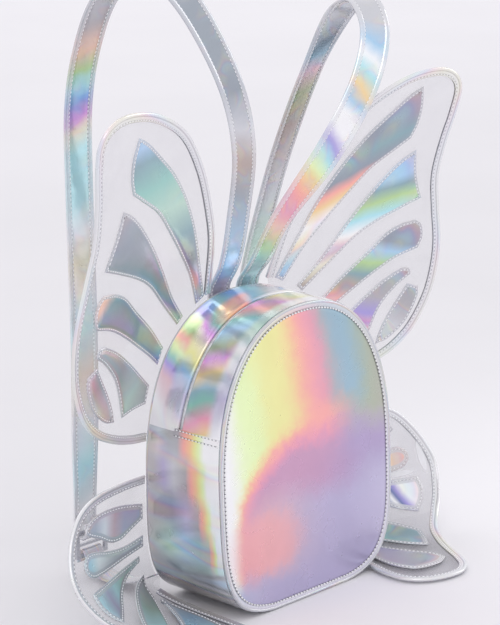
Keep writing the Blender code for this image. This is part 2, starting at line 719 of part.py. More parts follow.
def build_wing(prefix, side, control, petals, surface, front_gap, inner_points):
    outer = spline(control, STEP)
    inner = inward_offset(outer, FOLD + 0.0004)
    start = angle_at(inner[-1].x, inner[-1].y)
    stop = angle_at(inner[0].x, inner[0].y)
    if start > math.pi:
        start -= math.tau
    if stop > math.pi:
        stop -= math.tau
    root = root_curve(start, stop, ROOT_CLEAR, 14)
    outline = inner + root[1:-1]
    sheet(prefix + "_membrane", "clear", outline, surface, side, 0.0, SHEET, inner_points)
    edge_binding(prefix + "_binding", outer, surface, side)
    centre = SHEET / 2 + front_gap + PETAL_T / 2
    for petal, pieces in petals.items():
        loop = []
        for piece in pieces:
            loop += spline(piece, STEP, ends=False)
        sheet(prefix + "_" + petal, "petal", loop, surface, side, centre, PETAL_T, inner_points)


# --- straps -----------------------------------------------------------------
def strap_turn(name, share):
    """Turn of a strap's flat side at a share of its length, in degrees."""
    keys = STRAP_YAW[name]
    for (low, start), (high, stop) in zip(keys, keys[1:]):
        if share <= high:
            return start + (stop - start) * smoothstep((share - low) / (high - low))
    return keys[-1][1]


def build_strap(name):
    """Flat strap swept along its path; its lower end folds round a bar."""
    points = STRAP_PATHS[name]
    path = spline(points[:-4], 0.019)[:-1] + spline(points[-6:], 0.0055)[8:]
    length = [0.0]
    for p, q in zip(path, path[1:]):
        length.append(length[-1] + (q - p).length)
    rings = []
    for i, p in enumerate(path):
        before, after = path[max(i - 1, 0)], path[min(i + 1, len(path) - 1)]
        along = (after - before).normalized()
        yaw = math.radians(strap_turn(name, length[i] / length[-1]))
        yaw *= smoothstep((p.z - 0.06) / 0.08)
        across = Vector((math.cos(yaw), math.sin(yaw), 0.0))
        across = (across - along * across.dot(along)).normalized()
        face = along.cross(across)
        half_w, half_t = STRAP_W / 2, STRAP_T / 2
        ring = []
        for a, b in ((-0.92, -1), (0.92, -1), (1, 0), (0.92, 1), (-0.92, 1), (-1, 0)):
            ring.append(p + across * half_w * a + face * half_t * b)
        rings.append(ring)
    verts, faces = loft(rings)
    add_object(name + "_strap", verts, faces, "vinyl", origin=STRAP_PATHS[name][0])


def build_webbing(name, side):
    """Adjuster webbing from the bag's lower corner to the tri-glide."""
    x = side * RING_CENTRE[0]
    start = Vector((side * TAB_START[0], TAB_START[1], TAB_START[2]))
    path = spline((start, (x, 0.064, 0.012), (x, 0.092, 0.0045), (x, 0.112, 0.0065),
                   (x, 0.1210, 0.0170), (x, 0.1262, 0.0250), (x, 0.1312, 0.0220),
                   (x, 0.1325, 0.0120)), 0.0065)
    rings = []
    for i, p in enumerate(path):
        before, after = path[max(i - 1, 0)], path[min(i + 1, len(path) - 1)]
        along = (after - before).normalized()
        across = Vector((1.0, 0.0, 0.0))
        face = along.cross(across)
        ring = [p + across * 0.011 * a + face * WEB_T / 2 * b
                for a, b in ((-1, -1), (1, -1), (1, 1), (-1, 1))]
        rings.append(ring)
    verts, faces = loft(rings)
    add_object(name + "_webbing", verts, faces, "vinyl")


def build_triglide(name, side):
    """Metal slider: a flat frame with a centre bar."""
    centre = Vector((side * RING_CENTRE[0], RING_CENTRE[1], RING_CENTRE[2]))
    bar = RING_BAR / 2

    def box(low, high):
        verts = [(x, y, z) for x in (low[0], high[0]) for y in (low[1], high[1])
                 for z in (low[2], high[2])]
        faces = [(0, 1, 3, 2), (4, 6, 7, 5), (0, 4, 5, 1), (2, 3, 7, 6), (0, 2, 6, 4), (1, 5, 7, 3)]
        return verts, faces

    def shifted(low, high):
        return box([centre[i] + low[i] for i in range(3)], [centre[i] + high[i] for i in range(3)])

    verts, faces = shifted((-RING_W / 2, -bar, -RING_H / 2), (RING_W / 2, bar, RING_H / 2))
    frame = add_object(name + "_triglide", verts, faces, "metal", origin=centre, smooth=False)
    edge = 0.0036
    for k, (low, high) in enumerate((((bar * 0.9), RING_H / 2 - edge), (edge - RING_H / 2, -bar * 0.9))):
        verts, faces = shifted((edge - RING_W / 2, -0.006, low), (RING_W / 2 - edge, 0.006, high))
        cutter = add_object(f"{name}_glide_cutter_{k}", verts, faces, "metal", smooth=False)
        cutter.hide_render = True
        cutter.display_type = "WIRE"
        cut = frame.modifiers.new(f"window_{k}", "BOOLEAN")
        cut.object = cutter
        cut.operation = "DIFFERENCE"
        cut.solver = "EXACT"


def main():
    clear_scene()
    arch = build_bag()
    build_zip(arch)
    for name, side in (("left", -1), ("right", 1)):
        outline_size, petal_size = UPPER_SIZE[side]
        petals = {petal: [sized(piece, petal_size) for piece in pieces]
                  for petal, pieces in UPPER_PETALS.items()}
        build_wing(name + "_upper_wing", side, sized(UPPER_OUTER, outline_size), petals,
                   upper_surface, 0.0006, flare_points(0.026))
        build_wing(name + "_lower_wing", side, LOWER_OUTER, LOWER_PETALS, lower_surface,
                   0.0012, fan_points())
        build_strap(name)
        build_webbing(name, side)
        build_triglide(name, side)


main()
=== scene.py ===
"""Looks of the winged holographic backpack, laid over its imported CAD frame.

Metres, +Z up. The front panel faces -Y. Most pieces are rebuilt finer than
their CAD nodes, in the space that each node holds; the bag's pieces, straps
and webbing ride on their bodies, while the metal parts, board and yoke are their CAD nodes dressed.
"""

import math

import bmesh
import bpy
from mathutils import Matrix, Vector, noise
from mathutils.geometry import delaunay_2d_cdt


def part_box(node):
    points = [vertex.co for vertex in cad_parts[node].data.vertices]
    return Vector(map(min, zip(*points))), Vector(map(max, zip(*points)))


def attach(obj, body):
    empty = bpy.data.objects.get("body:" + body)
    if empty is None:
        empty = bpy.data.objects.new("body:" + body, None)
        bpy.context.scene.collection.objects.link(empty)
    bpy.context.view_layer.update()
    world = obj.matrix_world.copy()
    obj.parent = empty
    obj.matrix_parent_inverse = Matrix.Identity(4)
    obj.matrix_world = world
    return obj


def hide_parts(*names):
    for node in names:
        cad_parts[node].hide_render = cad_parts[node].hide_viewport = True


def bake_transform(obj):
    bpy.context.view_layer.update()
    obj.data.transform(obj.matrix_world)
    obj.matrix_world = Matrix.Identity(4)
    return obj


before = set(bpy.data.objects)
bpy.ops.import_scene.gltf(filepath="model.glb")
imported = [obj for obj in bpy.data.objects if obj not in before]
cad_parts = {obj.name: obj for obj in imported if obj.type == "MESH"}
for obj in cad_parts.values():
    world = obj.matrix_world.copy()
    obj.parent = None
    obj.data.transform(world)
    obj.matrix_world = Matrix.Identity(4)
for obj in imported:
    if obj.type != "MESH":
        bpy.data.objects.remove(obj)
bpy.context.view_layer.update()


def points(text):
    """Points in metres from text in millimetres, with commas between them."""
    items = (item.split() for item in text.split(",") if item.strip())
    return tuple(tuple(float(word) / 1000 for word in item) for item in items)


def petal(text):
    """Edges of a petal: each bar ends an edge in a sharp corner, and the last one closes."""
    parts = [points(part) for part in text.split("|")]
    edges, corner = [], ()
    for part in parts:
        edges.append(corner + part)
        corner = edges[-1][-1:]
    edges[-1] += parts[0][:1]
    return tuple(edges)


# --- bag, measured on the frame or shared with its source --------------------
BACK_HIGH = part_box("back_rim")[1]
FRONT_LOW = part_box("front_rim")[0]
HALF_W_FRONT = 0.105
HALF_W_BACK = BACK_HIGH.x
BACK_Y = BACK_HIGH.y
FRONT_Y = FRONT_LOW.y
FRONT_LEAN = 0.044
WIDEST_Z = 0.1147
ARCH_RISE = BACK_HIGH.z - WIDEST_Z
BASE_DROP = 0.1155
ARCH_POWER = 2.3
BASE_POWER = 4.2
SEAM_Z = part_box("lower_gusset")[1].z
ZIP_Y_LOW = 0.008
ZIP_Y_TOP = 0.003
ZIP_GAP = 0.0021              # zip line to the folded edge of the vinyl
SKIN = 0.0014
RIM_R = 0.0014
PANEL_IN = RIM_R * 1.6        # panel's edge inside the rolled edge
PANEL_SET = 0.0012            # panel's edge behind the face of the rolled edge
PANEL_SEW = 0.970             # share of the panel where its stitches run
LINING = 0.0008
AROUND = 220                  # stations around the whole outline
LOWER_STATIONS = 150
ARCH_STATIONS = 110

# --- sewing -------------------------------------------------------------------
STITCH_PITCH = 0.0036
THREAD_R = 0.00040
SEAM_THREAD_R = 0.00075       # around the front and back panels
JOINT_THREAD_R = 0.0005       # across the gusset's joint

# --- upper wings: pattern points (outward, up) from the bag's centre line ------
FLARE = 0.285
WING_Y = BACK_Y - PANEL_SET
# Hand cutting: size of (outline, petals) against the pattern, away from the root.
UPPER_SIZE = {-1: (1.012, 1.012), 1: (0.982, 1.0)}
SHEET = 0.0008
BINDING_W = 0.0075
BINDING_SEW = 0.0060          # stitch row from the outer fold
ROOT_CLEAR = 0.0015
SHEET_EDGE = 0.0024           # binding's outer fold to the sheet's edge
RIPPLE = 0.0009
UPPER_OUTER = points("34 256.2, 41 300, 53 330, 77 371, 108 406, 147 426, 182 432, 205 427, 217.5 412, "
                     "216.5 388, 211.5 362, 209 331, 215 300, 222 268, 222.5 240, 217 213, 203 186, "
                     "184 168, 160 156, 134 147.5, 110.5 143")
UPPER_PETALS = {
    "petal_1": petal("53.5 250, 68 276, 84 296, 103 317, 127 341, 148 354, 166 364.5 | 171.5 378, "
                     "172.5 394, 169 411 | 155 404, 136 390, 114 372, 92 348, 72 318, 56 284, 43.5 255 |"),
    "petal_2": petal("76.5 237, 105 262, 125 280, 145 291, 175 302, 190 307 | 184 320, 179 334, 175 353 | "
                     "161 346, 145 333, 126 313, 109 291, 90 265, 69.5 243.5 |"),
    "petal_3": petal("99.5 207.5, 115 219, 133 231, 153 244, 172 254, 194 260 | 197.5 270, 195 281, "
                     "188 287 | 172 285, 156 278, 139 263, 115 243, 93.5 221.5 |"),
    "petal_4": petal("113.5 177, 132 177, 149 175 | 155 195, 163 212, 177 227, 190 236 | 188 242, "
                     "179 243 | 161 234, 143 221, 123 204, 110 193 |"),
    "petal_5": petal("160 174.5, 173 178, 190 192, 200 212, 200 223 | 188 227.5 | 179 214, 170 200, "
                     "163 186"),
}

# --- lower wings: flat pattern, laid on a cone that turns onto the floor ------
APEX = (0.100, 0.045, 0.012)
TURN_DEG = 90.0
TURN_SOFT = 10.0
FIRST_YAW = 1.0
APEX_DROP = 0.0088
DROP_LENGTH = 0.035
TAIL_SWING = {-1: 22.0, 1: 10.0}
LOWER_OUTER = points("110.5 114, 140 114.2, 172 112, 195 104, 213 88, 227 66, 231.5 46, 226 22, 218 5, "
                     "209 -15, 204 -38, 197 -69, 191 -95, 184 -112, 172 -124, 155 -129, 135 -128, "
                     "118 -119, 108 -98, 104 -66, 102 -35, 100 -8, 98.5 5.5")
LOWER_PETALS = {
    "petal_1": petal("114.5 77, 129 71.5, 143 67, 158 68.5, 172 76, 184 81, 192 86 | 187 92.5, 174 96.5, "
                     "156 97, 137 95, 114.5 90 |"),
    "petal_2": petal("114.5 52.5, 130 50.5, 155 48.5, 180 48.5, 195 50, 203.5 56, 203.5 64, 195 69.5, "
                     "183 68.5, 160 62.5, 137 60, 114.5 62.5 |"),
    "petal_3": petal("120 40.5, 144 33, 161 25.5, 180 15.5, 199 8 | 207 18, 211 29, 209 40.5 | 188 41, "
                     "165 41.5, 140 43, 120 45.5 |"),
    "petal_4": petal("115.5 12, 130 -9, 148 -31, 166 -46, 182 -54 | 189 -36, 192 -18 | 184 -8, 170 3, "
                     "150 14, 132 23, 115.5 28 |"),
    "petal_5": petal("112.5 -18, 114 -50, 120 -80, 129 -96.5, 141 -104, 163 -100, 177 -89 | 172 -76, "
                     "156 -62, 138 -44, 123 -22, 116 -4 |"),
}

# --- straps ---------------------------------------------------------------------
STRAP_HALF = 0.013
STRAP_SEW = 0.0087            # stitch rows from the strap's middle
FOOT_X = 0.095                # straps and webbing meet here, each side
# Each strap's path, seen at its middle, down to the fold around the tri-glide.
STRAP_FOOT = points("133.5 50, 132.2 40, 126.2 35, 120.4 39, 119.6 50")
STRAP_PATHS = {
    "left": points("-15 50.5 238.5, -15 49 256, -15.5 36 279, -19.5 23 319, -30 6 381, "
                   "-49.5 4 441, -80 21 506, -103 44 530, -119 70 510, -120 93 467, "
                   "-114 112 412, -106 121 334, -100 125 212, -97 130 100") + tuple(
        (-FOOT_X, y, z) for y, z in STRAP_FOOT),
    "right": points("20 50.5 238.5, 20 49 256, 19.5 34 276, 24 13 315, 50 -15 371, "
                    "80 -26 423, 101 -20 464, 110 0 488, 112 24 480, 107 43 449, 102 70 388, "
                    "101 99 313, 96.5 124 212, 95 130 100") + tuple(
        (FOOT_X, y, z) for y, z in STRAP_FOOT),
}
# (share of the strap, turn in degrees about the upright) of its flat side
STRAP_YAW = {"left": ((0.0, 0.0), (0.18, -2.0), (0.45, -13.0), (1.0, -14.0)),
             "right": ((0.0, -2.0), (0.08, -4.0), (0.18, -24.0), (0.30, -26.0),
                       (0.38, -34.0), (0.48, -4.0), (1.0, 4.0))}
# Section of a strap, (across, thickness) from the middle to the edge: a flat
# field, a stitched groove and a turned hem.
STRAP_SECTION = ((0.0, 0.0009), (0.0045, 0.0009), (0.0078, 0.0008), (0.0086, 0.0007),
                 (0.0092, 0.0012), (0.0110, 0.0013), (0.0124, 0.0011), (0.0130, 0.0004))

WEBBING_SECTION = ((0.0, 0.0006), (0.0090, 0.0006), (0.0098, 0.0007), (0.0107, 0.0005), (0.0110, 0.0))

# --- hues ---------------------------------------------------------------------
HUES = {
    "white": (250, 250, 252), "pearl": (228, 228, 233), "silver": (206, 207, 213),
    "ash": (184, 180, 184), "grey": (170, 172, 178), "slate": (152, 160, 172),
    "dusk": (134, 132, 140), "shadow": (96, 96, 104), "cream": (246, 236, 212),
    "lemon": (240, 237, 164), "lime": (234, 251, 192), "olive": (176, 184, 152),
    "amber": (246, 214, 160), "orange": (250, 202, 158), "coral": (252, 178, 168),
    "peach": (238, 200, 182), "rose": (238, 160, 186), "blush": (222, 190, 200),
    "magenta": (224, 160, 228), "mauve": (204, 158, 190), "plum": (186, 154, 192),
    "violet": (172, 160, 224), "heather": (178, 160, 200), "salmon": (243, 176, 178),
    "ice": (206, 248, 253), "lavender": (184, 176, 210), "lilac": (198, 192, 220),
    "blue": (134, 176, 234), "sky": (172, 208, 238), "cyan": (180, 230, 240),
    "lagoon": (154, 186, 204), "teal": (142, 172, 180), "sea": (154, 204, 196),
    "mint": (190, 220, 206), "green": (186, 216, 156), "bronze": (182, 166, 160),
    "navy": (112, 124, 176), "steel": (160, 168, 178),
}


def tone(name):
    """Linear colour of a named hue."""
    return tuple(((c / 255 + 0.055) / 1.055) ** 2.4 for c in HUES[name]) + (1.0,)


def hues(text):
    """Colour stops from text: each place, then the hue that it has."""
    items = (item.split() for item in text.split(","))
    return tuple((float(place), hue) for place, hue in items)


def smoothstep(value, low=0.0, high=1.0):
    share = min(max((value - low) / (high - low), 0.0), 1.0)
    return share * share * (3 - 2 * share)


# --- material graphs --------------------------------------------------------------
class Graph:
    """Short calls that wire the nodes of one material."""

    def __init__(self, name):
        self.mat = bpy.data.materials.new(name)
        self.mat.use_nodes = True
        self.tree = self.mat.node_tree
        self.shader = self.tree.nodes["Principled BSDF"]
        flow = self.tree.nodes.new("ShaderNodeAttribute")
        flow.attribute_name = "flow"
        self.flow = flow.outputs["Vector"]
        parts = self.tree.nodes.new("ShaderNodeSeparateXYZ")
        self.tree.links.new(self.flow, parts.inputs[0])
        self.u, self.v, self.w = parts.outputs
        self.place = self.tree.nodes.new("ShaderNodeTexCoord").outputs["Object"]

    def put(self, socket, value):
        if isinstance(value, bpy.types.NodeSocket):
            self.tree.links.new(value, socket)
        else:
            socket.default_value = value

    def math(self, operation, *values):
        node = self.tree.nodes.new("ShaderNodeMath")
        node.operation = operation
        for socket, value in zip(node.inputs, values):
            self.put(socket, value)
        return node.outputs[0]

    def times(self, first, second):
        return self.math("MULTIPLY", first, second)

    def shaded(self, colour, shade):
        """colour darkened or lightened by a factor."""
        return self.mix(1.0, colour, self.vector(shade, shade, shade), "MULTIPLY")

    def step(self, value, low, high, start=0.0, stop=1.0):
        """Smooth change from start to stop as value goes from low to high."""
        node = self.tree.nodes.new("ShaderNodeMapRange")
        node.interpolation_type = "SMOOTHSTEP"
        for socket, item in zip(node.inputs, (value, low, high, start, stop)):
            self.put(socket, item)
        return node.outputs[0]

    def ramp(self, factor, stops, interpolation="LINEAR"):
        node = self.tree.nodes.new("ShaderNodeValToRGB")
        node.color_ramp.interpolation = interpolation
        elements = node.color_ramp.elements
        while len(elements) < len(stops):
            elements.new(0.5)
        for element, (place, hue) in zip(elements, stops):
            element.position = place
            element.color = tone(hue)
        self.put(node.inputs[0], factor)
        return node.outputs[0]

    def mix(self, share, first, second, blend="MIX"):
        node = self.tree.nodes.new("ShaderNodeMix")
        node.data_type = "RGBA"
        node.blend_type = blend
        self.put(node.inputs[0], share)
        self.put(node.inputs[6], first)
        self.put(node.inputs[7], second)
        return node.outputs[2]

    def vector(self, x, y, z=0.0):
        node = self.tree.nodes.new("ShaderNodeCombineXYZ")
        for socket, value in zip(node.inputs, (x, y, z)):
            self.put(socket, value)
        return node.outputs[0]

    def noise(self, vector, scale, detail=2.0, distortion=0.0):
        node = self.tree.nodes.new("ShaderNodeTexNoise")
        self.put(node.inputs["Vector"], vector)
        node.inputs["Scale"].default_value = scale
        node.inputs["Detail"].default_value = detail
        node.inputs["Distortion"].default_value = distortion
        return node.outputs[0]

    def warp(self, value, vector, scale, amount):
        """value shifted by up to amount each way by noise."""
        shift = self.math("MULTIPLY_ADD", self.noise(vector, scale), 2 * amount, -amount)
        return self.math("ADD", value, shift)

    def bump(self, height, strength, distance=0.001):
        node = self.tree.nodes.new("ShaderNodeBump")
        node.inputs["Strength"].default_value = strength
        node.inputs["Distance"].default_value = distance
        self.put(node.inputs["Height"], height)
        return node.outputs[0]

    def finish(self, colour, roughness, metallic, coat=0.0, normal=None):
        self.put(self.shader.inputs["Base Color"], colour)
        self.put(self.shader.inputs["Roughness"], roughness)
        self.put(self.shader.inputs["Metallic"], metallic)
        self.shader.inputs["Coat Weight"].default_value = coat
        self.shader.inputs["Coat Roughness"].default_value = 0.08
        if normal is not None:
            self.put(self.shader.inputs["Normal"], normal)
        return self.mat


def foil(graph, colour, metallic=0.58, roughness=0.2, grain=(1.0, 1.0), crease=0.25):
    """Holographic foil under a clear film: streaked along one way, finely creased."""
    streaks = graph.noise(graph.vector(graph.times(graph.u, grain[0]),
                                       graph.times(graph.v, grain[1]), graph.w), 1.0, 3.0)
    shade = graph.step(streaks, 0.3, 0.75, 0.98, 1.012)
    colour = graph.shaded(colour, shade)
    rough = graph.step(graph.noise(graph.place, 38.0, 3.0), 0.3, 0.8, roughness - 0.05, roughness + 0.10)
    waves = graph.noise(graph.place, 55.0, 3.0, 0.4)
    normal = graph.bump(waves, crease, 0.0012)
    return graph.finish(colour, rough, metallic, 0.5, normal)


def rows_material(name, rows, along="u", stacked="v", reach=(1.0, 1.0), size=(1.0, 1.0),
                  warp=(2.0, 0.05), slant=0.0, edge=None, haze=0.0, **options):
    """Colour stops along one pattern direction in rows stacked along another.

    rows: (start of row, softness, stops). reach: factors that bring both directions
    to 0..1. size: decimetres per unit of u and v. edge: (coordinate, low, high, hue,
    strength) of a border band. haze: share of soft rainbow blotches over it.
    """
    graph = Graph(name)
    axes = {"u": graph.u, "v": graph.v, "w": graph.w}
    flat = graph.vector(graph.times(graph.u, size[0]),
                        graph.times(graph.v, size[1]))
    run = graph.times(axes[along], reach[0])
    run = graph.math("MULTIPLY_ADD", axes[stacked], slant, run)
    run = graph.warp(run, flat, warp[0], warp[1])
    height = graph.warp(graph.times(axes[stacked], reach[1]), flat, warp[0] * 1.4, warp[1])
    colour = graph.ramp(run, rows[0][2])
    for start, soft, stops in rows[1:]:
        share = graph.step(height, start, start + soft)
        colour = graph.mix(share, colour, graph.ramp(run, stops))
    if haze:
        cloud = graph.noise(flat, warp[0] * 1.1, 0.0, 0.3)
        cover = graph.step(graph.noise(flat, warp[0] * 0.9, 0.0), 0.38, 0.68, 0.0, haze)
        colour = graph.mix(cover, colour, graph.ramp(graph.step(cloud, 0.22, 0.78), SPECTRUM))
    if edge is not None:
        coordinate, low, high, hue, strength = edge
        place = axes[coordinate]
        if coordinate == "v":
            place = graph.math("ABSOLUTE", graph.math("SUBTRACT", place, 0.5))
            share = graph.step(place, low, high, 0.0, strength)
        else:
            share = graph.step(place, low, high, strength, 0.0)
        colour = graph.mix(share, colour, tone(hue))
    return foil(graph, colour, **options)


def front_material(name):
    """Front panel: lime to blue from left to right above an arch of mauve."""
    graph = Graph(name)
    flat = graph.vector(graph.times(graph.u, 2.1), graph.times(graph.v, 2.5))
    u, v = graph.u, graph.v
    for scale, amount in ((1.3, 0.048), (7.0, 0.026), (24.0, 0.012)):
        u = graph.warp(u, flat, scale, amount)
        v = graph.warp(v, flat, scale * 1.2, amount)
    lean = graph.math("MULTIPLY_ADD", v, 0.20, graph.math("SUBTRACT", u, 0.14))
    upper = graph.ramp(lean, hues("0.02 white, 0.09 lime, 0.19 lime, 0.26 lemon, 0.37 lemon, "
                                  "0.44 amber, 0.5 coral, 0.59 rose, 0.645 ash, 0.7 lagoon, "
                                  "0.78 lagoon, 0.87 olive, 1 ash"), "B_SPLINE")
    short = graph.math("MAXIMUM", graph.math("MULTIPLY_ADD", u, -2.1, 1.0), 0.0)
    crest = graph.math("MULTIPLY_ADD", graph.times(short, short), -0.36,
                       graph.step(u, 0.66, 1.0, 0.67, 0.61))
    inside = graph.math("SMOOTH_MIN", graph.times(graph.math("SUBTRACT", crest, v), 5.6),
                        graph.math("MULTIPLY_ADD", u, 8.0, -0.45), 0.35)
    arch = graph.ramp(inside, hues("0 lemon, 0.22 amber, 0.42 coral, 0.64 rose, 0.85 mauve, "
                                   "1 mauve"), "B_SPLINE")
    cool = graph.ramp(inside, hues("0 olive, 0.35 ash, 0.75 heather, 1 heather"),
                      "B_SPLINE")
    warm = graph.ramp(inside, hues("0 coral, 0.4 coral, 0.64 rose, 0.9 mauve"), "B_SPLINE")
    arch = graph.mix(graph.step(u, 0.36, 0.54), arch, warm)
    arch = graph.mix(graph.step(u, 0.58, 0.80), arch, cool)
    colour = graph.mix(graph.step(inside, -0.10, 0.45), upper, arch)
    deep = graph.ramp(u, hues("0.06 blush, 0.22 mauve, 0.48 mauve, 0.66 plum, 0.82 heather, "
                              "1 lavender"), "B_SPLINE")
    cover = graph.times(graph.step(inside, 0.8, 1.4), graph.step(u, 0.06, 0.30))
    colour = graph.mix(cover, colour, deep)
    calm = graph.ramp(u, hues("0.04 peach, 0.12 rose, 0.25 blush, 0.5 lavender, 0.75 lavender, "
                              "1 lilac"), "B_SPLINE")
    low_down = graph.times(graph.step(v, 0.44, 0.30), graph.step(u, 0.07, 0.15))
    colour = graph.mix(low_down, colour, calm)
    du = graph.math("MULTIPLY_ADD", u, 3.6, -0.80)
    dv = graph.math("MULTIPLY_ADD", v, 7.0, -1.61)
    apart = graph.math("ADD", graph.times(du, du), graph.times(dv, dv))
    colour = graph.mix(graph.step(apart, 0.05, 1.0, 0.85, 0.0), colour, tone("salmon"))
    low = graph.ramp(u, hues("0.04 sky, 0.12 lilac, 0.28 lavender, 1 lavender"), "B_SPLINE")
    colour = graph.mix(graph.step(v, 0.17, 0.07), colour, low)
    # White along the panel's left edge is a painted highlight.
    colour = graph.mix(graph.step(graph.u, 0.12, 0.02, 0.0, 0.8), colour, tone("white"))
    colour = graph.mix(graph.step(graph.w, 0.024, 0.032, 0.7, 0.0), colour, tone("pearl"))
    return foil(graph, colour, metallic=0.5, roughness=0.3, grain=(11.0, 6.0), crease=0.10)


SPECTRUM = hues("0 pearl, 0.12 lemon, 0.24 orange, 0.35 rose, 0.46 violet, 0.57 sky, 0.68 cyan, "
                "0.78 mint, 0.88 lime, 1 blush")


def blotch_material(name, scale, base="silver", strength=1.0, stretch=(1.0, 1.0), shading_bands=None,
                    **options):
    """Foil whose rainbow follows soft blotches, as on creased vinyl; optional bands across it paint
    highlight and shade.
    """
    graph = Graph(name)
    flat = graph.vector(graph.times(graph.u, stretch[0]),
                        graph.times(graph.v, stretch[1]), graph.w)
    blotch = graph.noise(flat, scale, 0.0, 0.3)
    phase = graph.step(blotch, 0.25, 0.75)
    cover = graph.step(graph.noise(flat, scale * 0.7, 1.0, 0.3), 0.34, 0.66, 0.0, strength)
    colour = graph.mix(cover, tone(base), graph.ramp(phase, SPECTRUM))
    if shading_bands is not None:
        # Painted highlight and shade across the piece, from the bands.
        colour = graph.mix(0.55, colour, graph.ramp(graph.v, shading_bands))
    return foil(graph, colour, **options)


def clear_material(name, glare=(), milk=0.0):
    """Clear vinyl sheet: faint tint, a little milky where it is handled.

    milk: extra haze. glare: (u, v, half width, half height, lean) of bright patches in pattern space.
    """
    graph = Graph(name)
    facing = graph.tree.nodes.new("ShaderNodeLayerWeight")
    facing.inputs["Blend"].default_value = 0.35
    haze = graph.step(graph.noise(graph.place, 16.0, 2.0, 0.6), 0.42, 0.72, 0.07 + milk, 0.12 + milk)
    alpha = graph.math("ADD", haze, graph.times(facing.outputs["Fresnel"], 0.10))
    shine = None
    for u, v, wide, tall, lean in glare:
        right = graph.math("SUBTRACT", graph.u, u)
        rise = graph.math("SUBTRACT", graph.v, v)
        across = graph.math("DIVIDE", graph.math("MULTIPLY_ADD", rise, lean, right), wide)
        upward = graph.math("DIVIDE", graph.math("MULTIPLY_ADD", right, -lean, rise), tall)
        far = graph.math("ADD", graph.times(across, across),
                         graph.times(upward, upward))
        spot = graph.step(graph.warp(far, graph.place, 60.0, 0.25), 0.45, 1.1, 0.85, 0.0)
        shine = spot if shine is None else graph.math("MAXIMUM", shine, spot)
    colour = (0.56, 0.55, 0.60, 1.0)
    if shine is not None:
        alpha = graph.math("MAXIMUM", alpha, shine)
        colour = graph.mix(shine, colour, (0.97, 0.97, 1.0, 1.0))
    normal = graph.bump(graph.noise(graph.place, 26.0, 2.0), 0.25, 0.001)
    mat = graph.finish(colour, 0.06, 0.0, 0.0, normal)
    graph.put(graph.shader.inputs["Alpha"], alpha)
    graph.shader.inputs["IOR"].default_value = 1.5
    return mat


def woven_material(name, hue, pitch=0.0007, roughness=0.8):
    """Plain weave: two crossed sets of yarns."""
    graph = Graph(name)
    parts = graph.tree.nodes.new("ShaderNodeSeparateXYZ")
    graph.put(parts.inputs[0], graph.place)
    turns = math.tau / pitch
    warp = graph.math("SINE", graph.times(graph.math("ADD", parts.outputs[0],
                                                               parts.outputs[1]), turns))
    weft = graph.math("SINE", graph.times(parts.outputs[2], turns))
    weave = graph.times(warp, weft)
    shade = graph.step(weave, -1.0, 1.0, 0.78, 1.05)
    dust = graph.step(graph.noise(graph.place, 60.0, 3.0), 0.3, 0.8, 0.92, 1.05)
    shade = graph.times(shade, dust)
    colour = graph.shaded(tone(hue), shade)
    return graph.finish(colour, roughness, 0.0, 0.0, graph.bump(weave, 0.5, 0.0002))


def metal_material(name):
    """Bright plated zinc, a little scuffed."""
    graph = Graph(name)
    scuff = graph.noise(graph.place, 420.0, 4.0)
    rough = graph.step(scuff, 0.3, 0.8, 0.16, 0.36)
    colour = graph.ramp(graph.noise(graph.place, 90.0, 3.0), hues("0.2 grey, 0.8 silver"))
    return graph.finish(colour, rough, 1.0, 0.0, graph.bump(scuff, 0.12, 0.0003))


def thread_material(name, hue):
    graph = Graph(name)
    twist = graph.noise(graph.place, 1800.0, 2.0)
    shade = graph.step(twist, 0.3, 0.7, 0.82, 1.05)
    colour = graph.shaded(tone(hue), shade)
    return graph.finish(colour, 0.55, 0.0, 0.0, graph.bump(twist, 0.3, 0.0002))


def chain_material(name):
    """Moulded zip teeth: pale nylon with a soft sheen."""
    graph = Graph(name)
    cloud = graph.noise(graph.place, 300.0, 2.0)
    colour = graph.ramp(cloud, hues("0.25 silver, 0.75 white"))
    return graph.finish(colour, graph.step(cloud, 0.3, 0.7, 0.3, 0.5), 0.0, 0.0,
                        graph.bump(cloud, 0.1, 0.0002))


# --- meshes ---------------------------------------------------------------------
def add_piece(name, verts, faces, flow, materials, slots=None, sharp=50.0):
    """One mesh with outward faces; `flow` holds each point's pattern place."""
    mesh = bpy.data.meshes.new(name)
    mesh.from_pydata([tuple(v) for v in verts], [], faces)
    for material in materials:
        mesh.materials.append(material)
    if slots is not None:
        mesh.polygons.foreach_set("material_index", slots)
    bm = bmesh.new()
    bm.from_mesh(mesh)
    bmesh.ops.recalc_face_normals(bm, faces=bm.faces)
    bm.to_mesh(mesh)
    bm.free()
    attribute = mesh.attributes.new("flow", "FLOAT_VECTOR", "POINT")
    attribute.data.foreach_set("vector", [c for item in flow for c in item])
    mesh.shade_smooth()
    mesh.set_sharp_from_angle(angle=math.radians(sharp))
    obj = bpy.data.objects.new(name, mesh)
    bpy.context.scene.collection.objects.link(obj)
    return obj


def loft(rings, closed=False):
    """Faces joining equal closed rings of points in order, capped if open."""
    count = len(rings[0])
    verts = [p for ring in rings for p in ring]
    faces = []
    total = len(rings)
    for i in range(total if closed else total - 1):
        a, b = i * count, ((i + 1) % total) * count
        for j in range(count):
            k = (j + 1) % count
            faces.append((a + j, a + k, b + k, b + j))
    if not closed:
        faces.append(tuple(range(count)))
        faces.append(tuple(range((total - 1) * count, total * count)))
    return verts, faces


